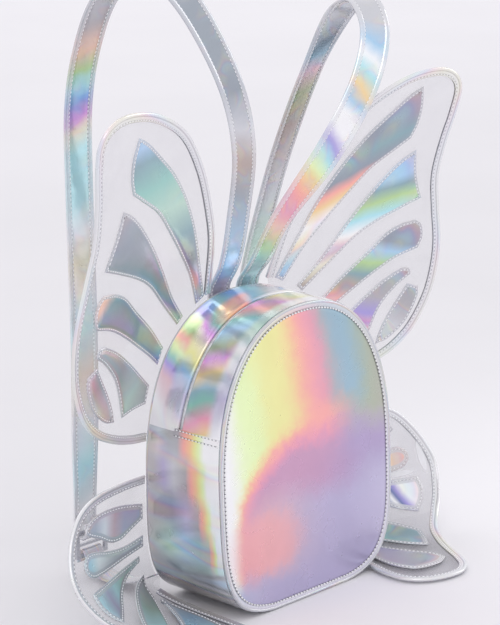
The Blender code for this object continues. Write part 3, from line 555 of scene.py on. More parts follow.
def spline(points, step, ends=True):
    """Smooth curve through points, resampled at `step`."""
    pts = [Vector(p) for p in points]
    if len(pts) == 2:
        fine = [pts[0].lerp(pts[1], i / 20) for i in range(21)]
    else:
        padded = [pts[0] * 2 - pts[1]] + pts + [pts[-1] * 2 - pts[-2]]
        fine = []
        for p0, p1, p2, p3 in zip(padded, padded[1:], padded[2:], padded[3:]):
            for i in range(16):
                t = i / 16
                fine.append(0.5 * (2 * p1 + (p2 - p0) * t + (2 * p0 - 5 * p1 + 4 * p2 - p3) * t * t
                                   + (3 * p1 - p0 - 3 * p2 + p3) * t ** 3))
        fine.append(pts[-1])
    out = resample(fine, step)
    return out if ends else out[:-1]


def resample(fine, step):
    """Equally spaced points along a polyline, as near `step` apart as fits."""
    length = [0.0]
    for p, q in zip(fine, fine[1:]):
        length.append(length[-1] + (q - p).length)
    count = max(1, round(length[-1] / step))
    out = []
    j = 0
    for i in range(count + 1):
        goal = length[-1] * i / count
        while j < len(fine) - 2 and length[j + 1] < goal:
            j += 1
        share = (goal - length[j]) / max(length[j + 1] - length[j], 1e-9)
        out.append(fine[j].lerp(fine[j + 1], share))
    return out


# --- bag outline --------------------------------------------------------------
def signed_power(value, power):
    return math.copysign(abs(value) ** power, value)


def outline_point(angle, y, inset=0.0):
    """Point (x, z) of the bag's section at depth y, for an angle from +X."""
    span = (y - FRONT_Y) / (BACK_Y - FRONT_Y)
    half = HALF_W_FRONT + (HALF_W_BACK - HALF_W_FRONT) * span - inset
    c, s = math.cos(angle), math.sin(angle)
    power = 2.0 / (ARCH_POWER if s >= 0 else BASE_POWER)
    rise = (ARCH_RISE if s >= 0 else BASE_DROP) - inset
    x = half * signed_power(c, power)
    z = WIDEST_Z + rise * signed_power(s, power)
    return Vector((x, max(z, inset)))


def outline_normal(angle, y):
    """Outward direction (x, z) of the section."""
    along = outline_point(angle + 0.012, y) - outline_point(angle - 0.012, y)
    return Vector((along.y, -along.x)).normalized()


def front_y(z):
    return FRONT_Y + FRONT_LEAN * z


def zip_y(z):
    share = (z - SEAM_Z) / (WIDEST_Z + ARCH_RISE - SEAM_Z)
    return ZIP_Y_LOW + (ZIP_Y_TOP - ZIP_Y_LOW) * share


def outline_angles(start, stop, closed, count=AROUND):
    """Angles with near-equal spacing along the outline, and the length at each."""
    fine = 2880
    steps = [start + (stop - start) * i / fine for i in range(fine + 1)]
    points = [outline_point(a, BACK_Y) for a in steps]
    length = [0.0]
    for p, q in zip(points, points[1:]):
        length.append(length[-1] + (q - p).length)
    out = []
    j = 0
    for i in range(count if closed else count + 1):
        goal = length[-1] * i / count
        while j < fine - 1 and length[j + 1] < goal:
            j += 1
        share = (goal - length[j]) / max(length[j + 1] - length[j], 1e-9)
        out.append((steps[j] + (steps[1] - steps[0]) * share, goal))
    return out


SEAM_ANGLE = math.asin(((SEAM_Z - WIDEST_Z) / ARCH_RISE) ** (ARCH_POWER / 2.0))
WHOLE = outline_angles(-math.pi / 2, math.tau - math.pi / 2, True)
LOWER = outline_angles(math.pi - SEAM_ANGLE - 0.012, math.tau + SEAM_ANGLE + 0.012, False,
                       LOWER_STATIONS)
ARCH = outline_angles(SEAM_ANGLE - 0.006, math.pi - SEAM_ANGLE + 0.006, False, ARCH_STATIONS)
HEIGHT = WIDEST_Z + ARCH_RISE


# --- bag panels ------------------------------------------------------------------
def panel(name, material, y_of, edge_in, crown, outward, thick=SKIN):
    """Crowned panel filling the outline, with a turned edge at its seam."""
    shares = [0.02, 0.12, 0.24, 0.36, 0.48, 0.60, 0.70, 0.79, 0.86, 0.91, 0.94, 0.960,
              0.970, 0.980, 0.990, 1.0]
    front, back, flow = [], [], []
    for r in shares:
        ring_front, ring_back = [], []
        for angle, _ in WHOLE:
            edge = outline_point(angle, y_of(0.1), edge_in)
            centre = Vector((0.0, WIDEST_Z))
            x, z = centre.lerp(edge, r)
            puff = crown * (1.0 - r ** 3.2)
            groove = 0.0007 * math.exp(-((r - PANEL_SEW) / 0.010) ** 2)
            roll = 0.0006 * smoothstep(r, 0.974, 0.992)
            buckle = 0.0006 * noise.noise(Vector((x * 14, z * 11, 3.0))) * (1 - r ** 6)
            y = y_of(z) + outward * (puff - groove + roll + buckle)
            ring_front.append((x, y, z))
            ring_back.append((x, y - outward * thick, z))
        front.append(ring_front)
        back.append(ring_back)
    rings = front + back[::-1]
    verts, faces = loft(rings)
    count = len(WHOLE)
    for i, (x, y, z) in enumerate(verts):
        layer = i // count
        share = shares[min(layer, 2 * len(shares) - 1 - layer)]
        flow.append(((x / HALF_W_FRONT + 1) / 2, z / HEIGHT, 1.0 - share))
    return add_piece(name, verts, faces, flow, [material])


def rolled_rim(name, material, y_of):
    """Rolled edge around a panel, slightly uneven as sewn vinyl is."""
    rings, flow = [], []
    for angle, length in WHOLE:
        z = outline_point(angle, 0.0).y
        y = y_of(z)
        centre = outline_point(angle, y, RIM_R)
        out = outline_normal(angle, y)
        size = RIM_R * (1.0 + 0.10 * noise.noise(Vector((length * 90, 0, 0))))
        ring = []
        for k in range(10):
            t = math.tau * (k + 0.5) / 10
            shift = out * size * math.cos(t)
            ring.append((centre.x + shift.x, y + size * math.sin(t),
                         max(centre.y + shift.y, 0.0)))
            flow.append((length, k / 10, 0.0))
        rings.append(ring)
    verts, faces = loft(rings, closed=True)
    return add_piece(name, verts, faces, flow, [material])


def gusset(name, material, stations, y_near, y_far, crown, hems=(False, False), inset=0.0,
           thick=SKIN, crease=0.0009):
    """Vinyl strip bent along the outline, crowned between its seams and creased."""
    across = 18
    rings, flow = [], []
    for angle, length in stations:
        z0 = outline_point(angle, 0.0).y
        near, far = y_near(z0), y_far(z0)
        outer, inner, places = [], [], []
        for j in range(across + 1):
            t = 0.5 - 0.5 * math.cos(math.pi * j / across)
            y = near + (far - near) * t
            free = smoothstep(min(t, 1 - t), 0.0, 0.16)
            lift = smoothstep(z0, 0.004, 0.05)
            fold = noise.noise(Vector((length * 26, y * 7, 1.7)))
            slant = noise.noise(Vector((length * 13 + y * 20, y * 16, 5.1)))
            swell = crown * (1 - (2 * t - 1) ** 4) + crease * free * (fold + 0.7 * slant)
            swell *= lift
            hem = 0.0
            for side, turned in zip((t, 1 - t), hems):
                if turned:
                    reach = side * abs(far - near)
                    hem += 0.0006 * smoothstep(reach, 0.0, 0.0008) * (1 - smoothstep(reach, 0.0036, 0.0044))
            point = outline_point(angle, y, inset)
            out = outline_normal(angle, y)
            for row, depth in ((outer, swell + hem), (inner, swell - thick)):
                low = 0.0 if row is outer else thick
                row.append((point.x + out.x * depth, y, max(point.y + out.y * depth, low)))
            places.append((length, t, z0))
        rings.append(outer + inner[::-1])
        flow += places + places[::-1]
    verts, faces = loft(rings)
    return add_piece(name, verts, faces, flow, [material])


# --- stitches -----------------------------------------------------------------
class Stitches:
    """Rows of threads gathered into one piece, with the needle holes between as sunk pieces coloured in
    painted hole shade.
    """

    # (share of the length, size, lift) of a thread's rings
    RINGS = ((0.0, 0.40, -0.3), (0.22, 1.0, 0.15), (0.78, 1.0, 0.15), (1.0, 0.40, -0.3))

    def __init__(self):
        self.verts, self.faces, self.slots, self.flow = [], [], [], []

    def bead(self, start, end, normal, radius, rise, slot):
        along = end - start
        side = along.cross(normal).normalized()
        up = side.cross(along).normalized()
        first = len(self.verts)
        for share, size, lift in self.RINGS:
            centre = start + along * share + up * (rise + radius * lift)
            for k in range(5):
                t = math.tau * k / 5
                self.verts.append(centre + (side * math.cos(t) + up * math.sin(t)) * radius * size)
                self.flow.append((share, 0.0, 0.0))
        for i in range(3):
            for k in range(5):
                a, b = first + 5 * i + k, first + 5 * i + (k + 1) % 5
                self.faces.append((a, b, b + 5, a + 5))
        self.faces.append(tuple(first + k for k in range(5)))
        self.faces.append(tuple(first + 15 + k for k in range(5)))
        self.slots += [slot] * 17

    def row(self, path, rise=0.0, radius=THREAD_R):
        """path: (point, normal) pairs along the seam."""
        length = [0.0]
        for (p, _), (q, _) in zip(path, path[1:]):
            length.append(length[-1] + (q - p).length)
        count = int(length[-1] / STITCH_PITCH)
        if count < 1:
            return
        gap = length[-1] / count
        j = 0

        def at(distance):
            nonlocal j
            while j < len(path) - 2 and length[j + 1] < distance:
                j += 1
            share = (distance - length[j]) / max(length[j + 1] - length[j], 1e-9)
            return path[j][0].lerp(path[j + 1][0], share), path[j][1].lerp(path[j + 1][1], share)

        for i in range(count):
            start, normal = at(gap * (i + 0.10))
            end, _ = at(gap * (i + 0.74))
            self.bead(start, end, normal, radius, rise, 0)
            after, _ = at(min(gap * (i + 1.02), length[-1]))
            # The sunk piece between stitches takes the second material: painted shade in the needle hole.
            self.bead(end.lerp(after, 0.2), after, normal, radius * 1.05, rise - radius * 0.7, 1)

    def build(self, name, thread, hole_shade):
        return add_piece(name, self.verts, self.faces, self.flow, [thread, hole_shade], self.slots, 80.0)


# --- wing surfaces --------------------------------------------------------------
def bag_distance(u, v):
    """Pattern distance from the bag's back outline, 0 inside it."""
    du, dv = u, v - WIDEST_Z
    if dv <= 0:
        return max(u - HALF_W_BACK, 0.0)
    radius = math.hypot(du, dv)
    c, s = du / radius, dv / radius
    return max(radius - 1.0 / math.sqrt((s / ARCH_RISE) ** 2 + (c / HALF_W_BACK) ** 2), 0.0)


def sized(points, factor):
    """Pattern points scaled about the bag's middle, but not beside the seam."""
    out = []
    for u, v in points:
        share = (factor - 1.0) * smoothstep(bag_distance(u, v), 0.0, 0.09)
        out.append((u * (1.0 + share), WIDEST_Z + (v - WIDEST_Z) * (1.0 + share)))
    return out


def upper_surface(u, v, side):
    """The upper wings flare forward from the back seam."""
    away = bag_distance(u, v)
    wave = RIPPLE * noise.noise(Vector((u * 17 + side * 5, v * 15, 0.5)))
    y = WING_Y - FLARE * away + wave * smoothstep(away, 0.004, 0.04)
    return Vector((side * u, y, v))


def lower_tables():
    """Elevation and heading of the cone's rulings against pattern angle."""
    step = 0.5
    heading = FIRST_YAW
    rows = []
    for i in range(401):
        angle = i * step
        soft = math.exp((TURN_DEG - angle) / TURN_SOFT)
        elevation = TURN_SOFT * math.log1p(soft)
        sink = 1.0 / (1.0 + soft)
        rows.append((elevation, heading, sink))
        slope = 1.0 - sink
        turn = math.sqrt(max(1.0 - slope * slope, 0.0))
        heading += step * turn / max(math.cos(math.radians(elevation)), 0.2)
    return rows


RULINGS = lower_tables()


def lower_surface(u, v, side):
    """The lower wings roll from the side seam onto the floor."""
    du, dv = u - APEX[0], v - APEX[2]
    radius = math.hypot(du, dv)
    angle = math.degrees(math.atan2(du, dv))
    if angle < 0:
        angle = 0.0 if dv > 0 else angle + 360.0
    place = min(angle / 0.5, 399.0)
    i = int(place)
    share = place - i
    elevation, heading, sink = (a + (b - a) * share for a, b in zip(RULINGS[i], RULINGS[i + 1]))
    heading -= TAIL_SWING[side] * smoothstep(angle, 95.0, 155.0)
    rise, yaw = math.radians(elevation), math.radians(heading)
    drop = APEX_DROP * sink * (1.0 - math.exp(-radius / DROP_LENGTH))
    x = APEX[0] + radius * math.cos(rise) * math.cos(yaw)
    if dv > 0 and du < 0:
        x = u
    y = APEX[1] - PANEL_SET - radius * math.cos(rise) * math.sin(yaw)
    z = APEX[2] + radius * math.sin(rise) - drop
    return Vector((side * x, y, z))


def surface_frame(surface, u, v, side):
    """Point of a wing surface and its normal, which points to the front."""
    h = 0.0006
    across = surface(u + h, v, side) - surface(u - h, v, side)
    up = surface(u, v + h, side) - surface(u, v - h, side)
    normal = across.cross(up) if side > 0 else up.cross(across)
    return surface(u, v, side), normal.normalized()


def sideways(points, distance):
    """Shift an open outline to the right of its direction."""
    out = []
    for i, p in enumerate(points):
        along = (points[min(i + 1, len(points) - 1)] - points[max(i - 1, 0)]).normalized()
        out.append(p + Vector((along.y, -along.x)) * distance)
    return out


def inset_loop(loop, distance):
    """Counter-clockwise pattern loop moved inward, with mitred corners."""
    out = []
    for i, p in enumerate(loop):
        a = (p - loop[i - 1]).normalized()
        b = (loop[(i + 1) % len(loop)] - p).normalized()
        first, second = Vector((-a.y, a.x)), Vector((-b.y, b.x))
        middle = (first + second).normalized()
        out.append(p + middle * distance / max(middle.dot(first), 0.45))
    return out


def signed_area(loop):
    return sum(p.cross(q) for p, q in zip(loop, loop[1:] + loop[:1])) / 2


def filled(loop, spacing):
    """Triangles that fill a loop: the points, then faces by index."""
    low = Vector((min(p.x for p in loop), min(p.y for p in loop)))
    high = Vector((max(p.x for p in loop), max(p.y for p in loop)))
    points = [p.copy() for p in loop]
    for r in range(int((high.y - low.y) / spacing) + 2):
        for c in range(int((high.x - low.x) / spacing) + 2):
            p = low + Vector(((c + 0.5 * (r % 2)) * spacing, r * spacing))
            if min((p - q).length_squared for q in loop) > (spacing * 0.6) ** 2:
                points.append(p)
    edges = [(i, (i + 1) % len(loop)) for i in range(len(loop))]
    found = delaunay_2d_cdt(points, edges, [tuple(range(len(loop)))], 1, 1e-7)
    return [Vector(p) for p in found[0]], [tuple(f) for f in found[2]]


def laid_sheet(name, material, loop, rings, surface, side, base, spacing, flow_of):
    """Sheet over a pattern loop. `rings` gives (inset, height) of its edge profile."""
    flat, faces, heights = [], [], []
    count = len(loop)
    for distance, height in rings:
        flat += inset_loop(loop, distance)
        heights += [height] * count
    for k in range(len(rings) - 1):
        for i in range(count):
            j = (i + 1) % count
            faces.append((k * count + i, k * count + j, (k + 1) * count + j, (k + 1) * count + i))
    last = (len(rings) - 1) * count
    points, triangles = filled(flat[last:], spacing)
    index = {}
    for i, p in enumerate(points):
        if i < count:
            index[i] = last + i
    for face in triangles:
        for i in face:
            if i not in index:
                index[i] = len(flat)
                flat.append(points[i])
                heights.append(rings[-1][1])
        faces.append(tuple(index[i] for i in face))
    front, back, flow = [], [], []
    for p, height in zip(flat, heights):
        point, normal = surface_frame(surface, p.x, p.y, side)
        front.append(point + normal * (base + height))
        back.append(point + normal * base)
        flow.append(flow_of(p))
    for k, (distance, _) in enumerate(rings):
        for i in range(count):
            a, b, _ = flow[k * count + i]
            flow[k * count + i] = (a, b, distance)
    total = len(front)
    faces += [tuple(total + i for i in reversed(face)) for face in faces]
    for i in range(count):
        j = (i + 1) % count
        faces.append((j, i, total + i, total + j))
    return add_piece(name, front + back, faces, flow + flow, [material])


# Edge binding, (inset, height): a rolled fold, a dip, and a stitched leaf.
LEAF = ((0.0075, 0.00060), (0.0074, 0.00100), (0.0066, 0.00112), (0.0060, 0.00088),
        (0.0054, 0.00108), (0.0042, 0.00105), (0.0034, 0.00090), (0.0026, 0.00120),
        (0.0014, 0.00155), (0.0005, 0.00125))


def binding_section():
    outside = list(LEAF) + [(0.0, 0.0)] + [(d, -h) for d, h in reversed(LEAF)]
    inside = [(0.0075, -0.00052), (0.0021, -0.00050), (0.0021, 0.00050), (0.0075, 0.00052)]
    return outside + inside


def edge_binding(name, material, outer, surface, side):
    """Folded tape around the sheet's edge, swept along the outline."""
    section = binding_section()
    rows = {d: sideways(outer, d) for d in {d for d, _ in section}}
    rings, flow = [], []
    length = 0.0
    for i in range(len(outer)):
        if i:
            length += (outer[i] - outer[i - 1]).length
        ring = []
        for d, h in section:
            p = rows[d][i]
            point, normal = surface_frame(surface, p.x, p.y, side)
            ring.append(point + normal * h)
            flow.append((length, d / BINDING_W, 0.0))
        rings.append(ring)
    verts, faces = loft(rings)
    return add_piece(name, verts, faces, flow, [material], sharp=70.0)


def angle_at(point):
    """Outline angle of the bag nearest to a pattern point."""
    best = min(range(1441), key=lambda i: (outline_point(math.tau * i / 1440, BACK_Y) - point).length)
    angle = math.tau * best / 1440
    return angle - math.tau if angle > math.pi else angle


PETAL_RINGS = ((0.0, 0.00012), (0.0004, 0.00062), (0.0011, 0.00074), (0.0019, 0.00056),
               (0.0026, 0.00070), (0.0036, 0.00074), (0.0042, 0.00088), (0.0052, 0.00098))
PETAL_STITCH_IN = 0.0019
SHEET_RINGS = ((0.0, SHEET), (0.002, SHEET))
SHEET_GRID = 0.007            # spacing of the points that fill a sheet
PETAL_GRID = 0.005


def hang(piece):
    """Bakes the transform of a wing piece, sewn at the bag's seam, into its mesh."""
    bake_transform(piece)


def build_wing(side, level, control, petals, surface, gap):
    """Membrane, edge binding, petals and stitches of one wing."""
    name = f"{'left' if side < 0 else 'right'}_{level}_wing"
    outer = spline(control, 0.004)
    inner = sideways(outer, SHEET_EDGE)
    start, stop = angle_at(inner[-1]), angle_at(inner[0])
    root = [outline_point(start + (stop - start) * i / 40, BACK_Y, -ROOT_CLEAR) for i in range(1, 40)]
    loop = inner + root
    if signed_area(loop) < 0:
        loop.reverse()
    clear = CLEAR_SHINY if name == "right_lower_wing" else CLEAR
    membrane = laid_sheet(name + "_membrane", clear, loop, SHEET_RINGS, surface, side, -SHEET / 2,
                          SHEET_GRID, lambda p: (p.x, p.y, 0.0))
    made = [(membrane, name + "_membrane")]
    binding = edge_binding(name + "_binding", BINDINGS[name], outer, surface, side)
    made.append((binding, name + "_binding"))
    stitches = Stitches()

    def sew(line, face, height):
        frames = [surface_frame(surface, p.x, p.y, side) for p in line]
        stitches.row([(point + normal * height * face, normal * face) for point, normal in frames])

    seam = sideways(outer, BINDING_SEW)
    for face in (1, -1):
        sew(seam, face, 0.00092)
    for part, pieces in petals.items():
        loop = []
        for piece in pieces:
            loop += spline(piece, 0.0032, ends=False)
        if signed_area(loop) < 0:
            loop.reverse()
        root_mid = (Vector(pieces[-1][0]) + Vector(pieces[-1][-1])) / 2
        far = max(loop, key=lambda p: (p - root_mid).length)
        along = far - root_mid
        across = Vector((-along.y, along.x)).normalized()

        def place(p, root_mid=root_mid, along=along, across=across):
            offset = p - root_mid
            return (offset.dot(along) / along.length_squared, offset.dot(across) / 0.05 + 0.5, 1.0)

        base = SHEET / 2 + gap
        made.append((laid_sheet(f"{name}_{part}", PETAL_LOOKS[name, part], loop, PETAL_RINGS,
                                surface, side, base, PETAL_GRID, place), f"{name}_{part}"))
        row = inset_loop(loop, PETAL_STITCH_IN)
        for face, height in ((1, base + 0.00058), (-1, SHEET / 2 + 0.00005)):
            sew(row + row[:1], face, height)
    for piece, node in made:
        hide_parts(node)
        hang(piece)
    # The right upper wing's needle holes get the darker painted shade.
    bold = name == "right_upper_wing"
    thread = stitches.build(name + "_stitches", THREAD, DARK_HOLE_SHADE if bold else HOLE_SHADE)
    hang(thread)


# --- straps ---------------------------------------------------------------------
def strap_turn(name, share):
    """Turn of a strap's flat side at a share of its length, in degrees."""
    keys = STRAP_YAW[name]
    for (low, start), (high, stop) in zip(keys, keys[1:]):
        if share <= high:
            return start + (stop - start) * smoothstep((share - low) / (high - low))
    return keys[-1][1]


def mirrored(half):
    """Top of a section, from edge to edge, out of its half from the middle."""
    return [(-a, h) for a, h in reversed(half)] + list(half[1:])


def strap_frames(name):
    """Points along a strap with the directions across it and out of its face."""
    path = spline(STRAP_PATHS[name], 0.004)
    lengths = [0.0]
    for p, q in zip(path, path[1:]):
        lengths.append(lengths[-1] + (q - p).length)
    frames = []
    for i, p in enumerate(path):
        before, after = path[max(i - 1, 0)], path[min(i + 1, len(path) - 1)]
        along = (after - before).normalized()
        yaw = math.radians(strap_turn(name, lengths[i] / lengths[-1]))
        yaw *= smoothstep((p.z - 0.06) / 0.08)
        across = Vector((math.cos(yaw), math.sin(yaw), 0.0))
        across = (across - along * across.dot(along)).normalized()
        frames.append((p, across, along.cross(across), lengths[i]))
    return frames


def build_strap(name):
    frames = strap_frames(name)
    total = frames[-1][3]
    top = mirrored(STRAP_SECTION)
    rings, flow = [], []
    for p, across, face, length in frames:
        crinkle = 0.00022 * noise.noise(Vector((length * 150, 0, 0)))
        ring = []
        for a, h in top + [(a, -h) for a, h in reversed(top)]:
            lift = crinkle * smoothstep(0.008 - abs(a), 0.0, 0.003)
            ring.append(p + across * a + face * (h + lift))
            flow.append((length / total, a / STRAP_HALF * 0.5 + 0.5, p.z))
        rings.append(ring)
    verts, faces = loft(rings)
    strap = add_piece(name + "_shoulder_strap", verts, faces, flow, [STRAPS[name]], sharp=70.0)
    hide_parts(name + "_strap")
    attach(strap, name + "_strap_loop")
    stitches = Stitches()
    for offset in (-STRAP_SEW, STRAP_SEW):
        for face_side in (1, -1):
            path = []
            for p, across, face, _ in frames:
                normal = face * face_side
                path.append((p + across * offset + normal * 0.0008, normal))
            stitches.row(path)
    thread = stitches.build(name + "_strap_stitches", THREAD, HOLE_SHADE)
    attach(thread, name + "_strap_loop")


def build_webbing(name, side):
    """Adjuster webbing from the bag's lower corner to the tri-glide."""
    x = side * FOOT_X
    path = spline(((side * 0.094, 0.0475, 0.020), (x, 0.064, 0.012), (x, 0.092, 0.0045),
                   (x, 0.112, 0.0065), (x, 0.1210, 0.0170), (x, 0.1262, 0.0250),
                   (x, 0.1312, 0.0220), (x, 0.1325, 0.0120)), 0.0028)
    top = mirrored(WEBBING_SECTION)
    section = top + [(a, -h) for a, h in reversed(top[1:-1])]
    rings, flow = [], []
    for i, p in enumerate(path):
        along = (path[min(i + 1, len(path) - 1)] - path[max(i - 1, 0)]).normalized()
        across = Vector((1.0, 0.0, 0.0))
        face = along.cross(across)
        rings.append([p + across * a + face * h for a, h in section])
        flow += [(i / len(path), a / 0.022 + 0.5, 0.0) for a, _ in section]
    verts, faces = loft(rings)
    piece = add_piece(name + "_adjuster_webbing", verts, faces, flow, [WEBBING], sharp=70.0)
    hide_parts(name + "_webbing")
    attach(piece, name + "_strap_loop")


# --- bag assembly -----------------------------------------------------------------
def build_bag():
    front_edge = lambda z: front_y(z) + 2 * RIM_R
    back_edge = lambda z: BACK_Y - 2 * RIM_R
    front = lambda z: front_y(z) + PANEL_SET

    def keep(piece, node, slot):
        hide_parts(node)
        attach(piece, "bag")

    keep(panel("front_face", FRONT, front, PANEL_IN, 0.0042, -1), "front_panel", "holographic_vinyl")
    keep(panel("back_face", BACK, lambda z: BACK_Y - PANEL_SET, PANEL_IN, 0.0012, 1),
         "back_panel", "holographic_vinyl")
    keep(rolled_rim("front_rolled_edge", RIM, lambda z: front_y(z) + RIM_R), "front_rim",
         "holographic_vinyl")
    keep(rolled_rim("back_rolled_edge", BACK_RIM, lambda z: BACK_Y - RIM_R), "back_rim",
         "holographic_vinyl")
    keep(gusset("lower_side_gusset", LOWER_SIDE, LOWER, front_edge, back_edge, 0.0015), "lower_gusset",
         "holographic_vinyl")
    keep(gusset("front_zip_side", FRONT_ARCH, ARCH, front_edge, lambda z: zip_y(z) - ZIP_GAP, 0.0008,
                hems=(False, True), crease=0.0006), "front_zip_gusset", "holographic_vinyl")
    keep(gusset("rear_zip_side", REAR_ARCH, ARCH, lambda z: zip_y(z) + ZIP_GAP, back_edge, 0.0012,
                hems=(True, False), crease=0.0011), "rear_zip_gusset", "holographic_vinyl")
    tape_in = SKIN + 0.0006
    keep(gusset("front_tape", TAPE, ARCH, lambda z: zip_y(z) - 0.0105, lambda z: zip_y(z) - 0.0016,
                0.0, inset=tape_in, thick=0.0007, crease=0.0), "front_zip_tape", "zip_tape")
    keep(gusset("rear_tape", TAPE, ARCH, lambda z: zip_y(z) + 0.0016, lambda z: zip_y(z) + 0.0105,
                0.0, inset=tape_in, thick=0.0007, crease=0.0), "rear_zip_tape", "zip_tape")
    build_linings(keep)
    build_teeth()
    build_seams()


def build_linings(keep):
    inset = SKIN + 0.0018
    inner_front = lambda z: front_y(z) + 0.0030
    inner_back = lambda z: BACK_Y - 0.0038
    wall_near = lambda z: inner_front(z) + 0.0016
    wall_far = lambda z: inner_back(z) - 0.0016
    keep(panel("lining_front_cloth", CLOTH, inner_front, inset + 0.002, 0.0, -1, LINING),
         "lining_front", "lining_cloth")
    keep(panel("lining_back_cloth", CLOTH, inner_back, inset + 0.002, 0.0, 1, LINING),
         "lining_back", "lining_cloth")
    keep(gusset("lining_wall_cloth", CLOTH, LOWER, wall_near, wall_far, -0.0008, inset=inset,
                thick=LINING, crease=0.0004), "lining_lower", "lining_cloth")
    keep(gusset("lining_arch_front_cloth", CLOTH, ARCH, wall_near, lambda z: zip_y(z) - 0.0068,
                -0.0006, inset=inset, thick=LINING, crease=0.0004), "lining_arch_front", "lining_cloth")
    keep(gusset("lining_arch_rear_cloth", CLOTH, ARCH, lambda z: zip_y(z) + 0.0068, wall_far,
                -0.0006, inset=inset, thick=LINING, crease=0.0004), "lining_arch_rear", "lining_cloth")


def build_teeth():
    """Two interlocking rows of moulded teeth under the zip's folded edges."""
    pitch, depth, reach = 0.0016, SKIN + 0.0008, 0.0021
    fine = [Vector((*outline_point(a, 0.0, depth), a)) for a, _ in ARCH]
    line = resample(fine, pitch / 2)
    verts, faces, flow = [], [], []
    for i, (x, z, angle) in enumerate(line):
        side = 1 if i % 2 else -1
        out = outline_normal(angle, 0.0)
        out = Vector((out.x, 0.0, out.y))
        along = Vector((out.z, 0.0, -out.x))
        y = zip_y(z)
        first = len(verts)
        for share, half, tall in ((-0.35, 0.00062, 0.0005), (0.10, 0.00040, 0.0007),
                                  (0.55, 0.00058, 0.0007), (0.80, 0.00036, 0.0004)):
            centre = Vector((x, y + side * (reach * (1.0 - share) - reach * 0.35), z))
            for a, b in ((-1, -1), (1, -1), (1, 0.6), (0.6, 1), (-0.6, 1), (-1, 0.6)):
                verts.append(centre + along * half * a + out * tall * b)
                flow.append((i, share, 0.0))
        for r in range(3):
            for k in range(6):
                a, b = first + 6 * r + k, first + 6 * r + (k + 1) % 6
                faces.append((a, b, b + 6, a + 6))
        faces.append(tuple(first + k for k in range(6)))
        faces.append(tuple(first + 18 + k for k in range(6)))
    teeth = add_piece("zip_teeth", verts, faces, flow, [CHAIN], sharp=40.0)
    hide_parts("zip_chain")
    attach(teeth, "bag")


def build_seams():
    """Visible sewing of the bag: panel borders and the gusset joint."""
    stitches = Stitches()
    for y_of, outward, lift in ((lambda z: front_y(z) + PANEL_SET, -1, 0.0005),
                                (lambda z: BACK_Y - PANEL_SET, 1, 0.0002)):
        path = []
        for angle, _ in WHOLE + WHOLE[:1]:
            edge = outline_point(angle, y_of(0.1), PANEL_IN)
            x, z = Vector((0.0, WIDEST_Z)).lerp(edge, PANEL_SEW)
            path.append((Vector((x, y_of(z) + outward * lift, z)), Vector((0.0, outward, 0.0))))
        stitches.row(path, rise=0.0001, radius=SEAM_THREAD_R)
    for shift in (-0.030, 0.004):
        for angle in (SEAM_ANGLE + shift, math.pi - SEAM_ANGLE - shift):
            path = []
            near, far = front_y(SEAM_Z) + 0.003, ZIP_Y_LOW + 0.004
            for j in range(25):
                y = near + (far - near) * j / 24
                point = outline_point(angle, y)
                out = outline_normal(angle, y)
                normal = Vector((out.x, 0.0, out.y))
                t = (y - near) / (BACK_Y - near)
                crown = 0.0015 * (1 - (2 * t - 1) ** 4)
                path.append((Vector((point.x, y, point.y)) + normal * (crown + 0.0005), normal))
            stitches.row(path, radius=JOINT_THREAD_R)
    thread = stitches.build("bag_stitches", THREAD, DARK_HOLE_SHADE)
    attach(thread, "bag")


# --- carried-over CAD pieces --------------------------------------------------------
def dress(node, material, bevel):
    """Gives a hard CAD node its material and softened edges."""
    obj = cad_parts[node]
    obj.data.materials.clear()
    obj.data.materials.append(material)
    edge = obj.modifiers.new("soft_edges", "BEVEL")
    edge.width = bevel
    edge.segments = 3
    edge.limit_method = "ANGLE"


# --- stage --------------------------------------------------------------------------
VIEW_TURN = -46.43            # degrees around +Z
VIEW_RISE = 15.16             # degrees above the floor
VIEW_DISTANCE = 2.1125
VIEW_CENTRE = Vector((0.0, 0.0, 0.130))
VIEW_SHIFT = (-0.0200, 0.10564)
LENS = 144.0
FLOOR_REACH = 14.0
FLOOR_DROP = 0.0004


def build_camera():
    """Camera at the standing viewer's place, with its picture shifted."""
    turn, rise = math.radians(VIEW_TURN), math.radians(VIEW_RISE)
    right = Vector((math.cos(turn), math.sin(turn), 0.0))
    back = Vector((math.sin(turn) * math.cos(rise), -math.cos(turn) * math.cos(rise), math.sin(rise)))
    up = back.cross(right)
    camera = bpy.data.objects.new("camera", bpy.data.cameras.new("camera"))
    camera.data.lens = LENS
    camera.data.sensor_width = 36.0
    place = VIEW_CENTRE + back * VIEW_DISTANCE + right * VIEW_SHIFT[0] + up * VIEW_SHIFT[1]
    camera.matrix_world = Matrix.Translation(place) @ Matrix((right, up, back)).transposed().to_4x4()
    bpy.context.scene.collection.objects.link(camera)
    bpy.context.scene.camera = camera


def area_light(name, place, target, size, power):
    light = bpy.data.lights.new(name, "AREA")
    light.shape = "RECTANGLE"
    light.size, light.size_y = size
    light.energy = power
    obj = bpy.data.objects.new(name, light)
    obj.location = place
    obj.rotation_euler = (Vector(target) - Vector(place)).to_track_quat("-Z", "Y").to_euler()
    bpy.context.scene.collection.objects.link(obj)


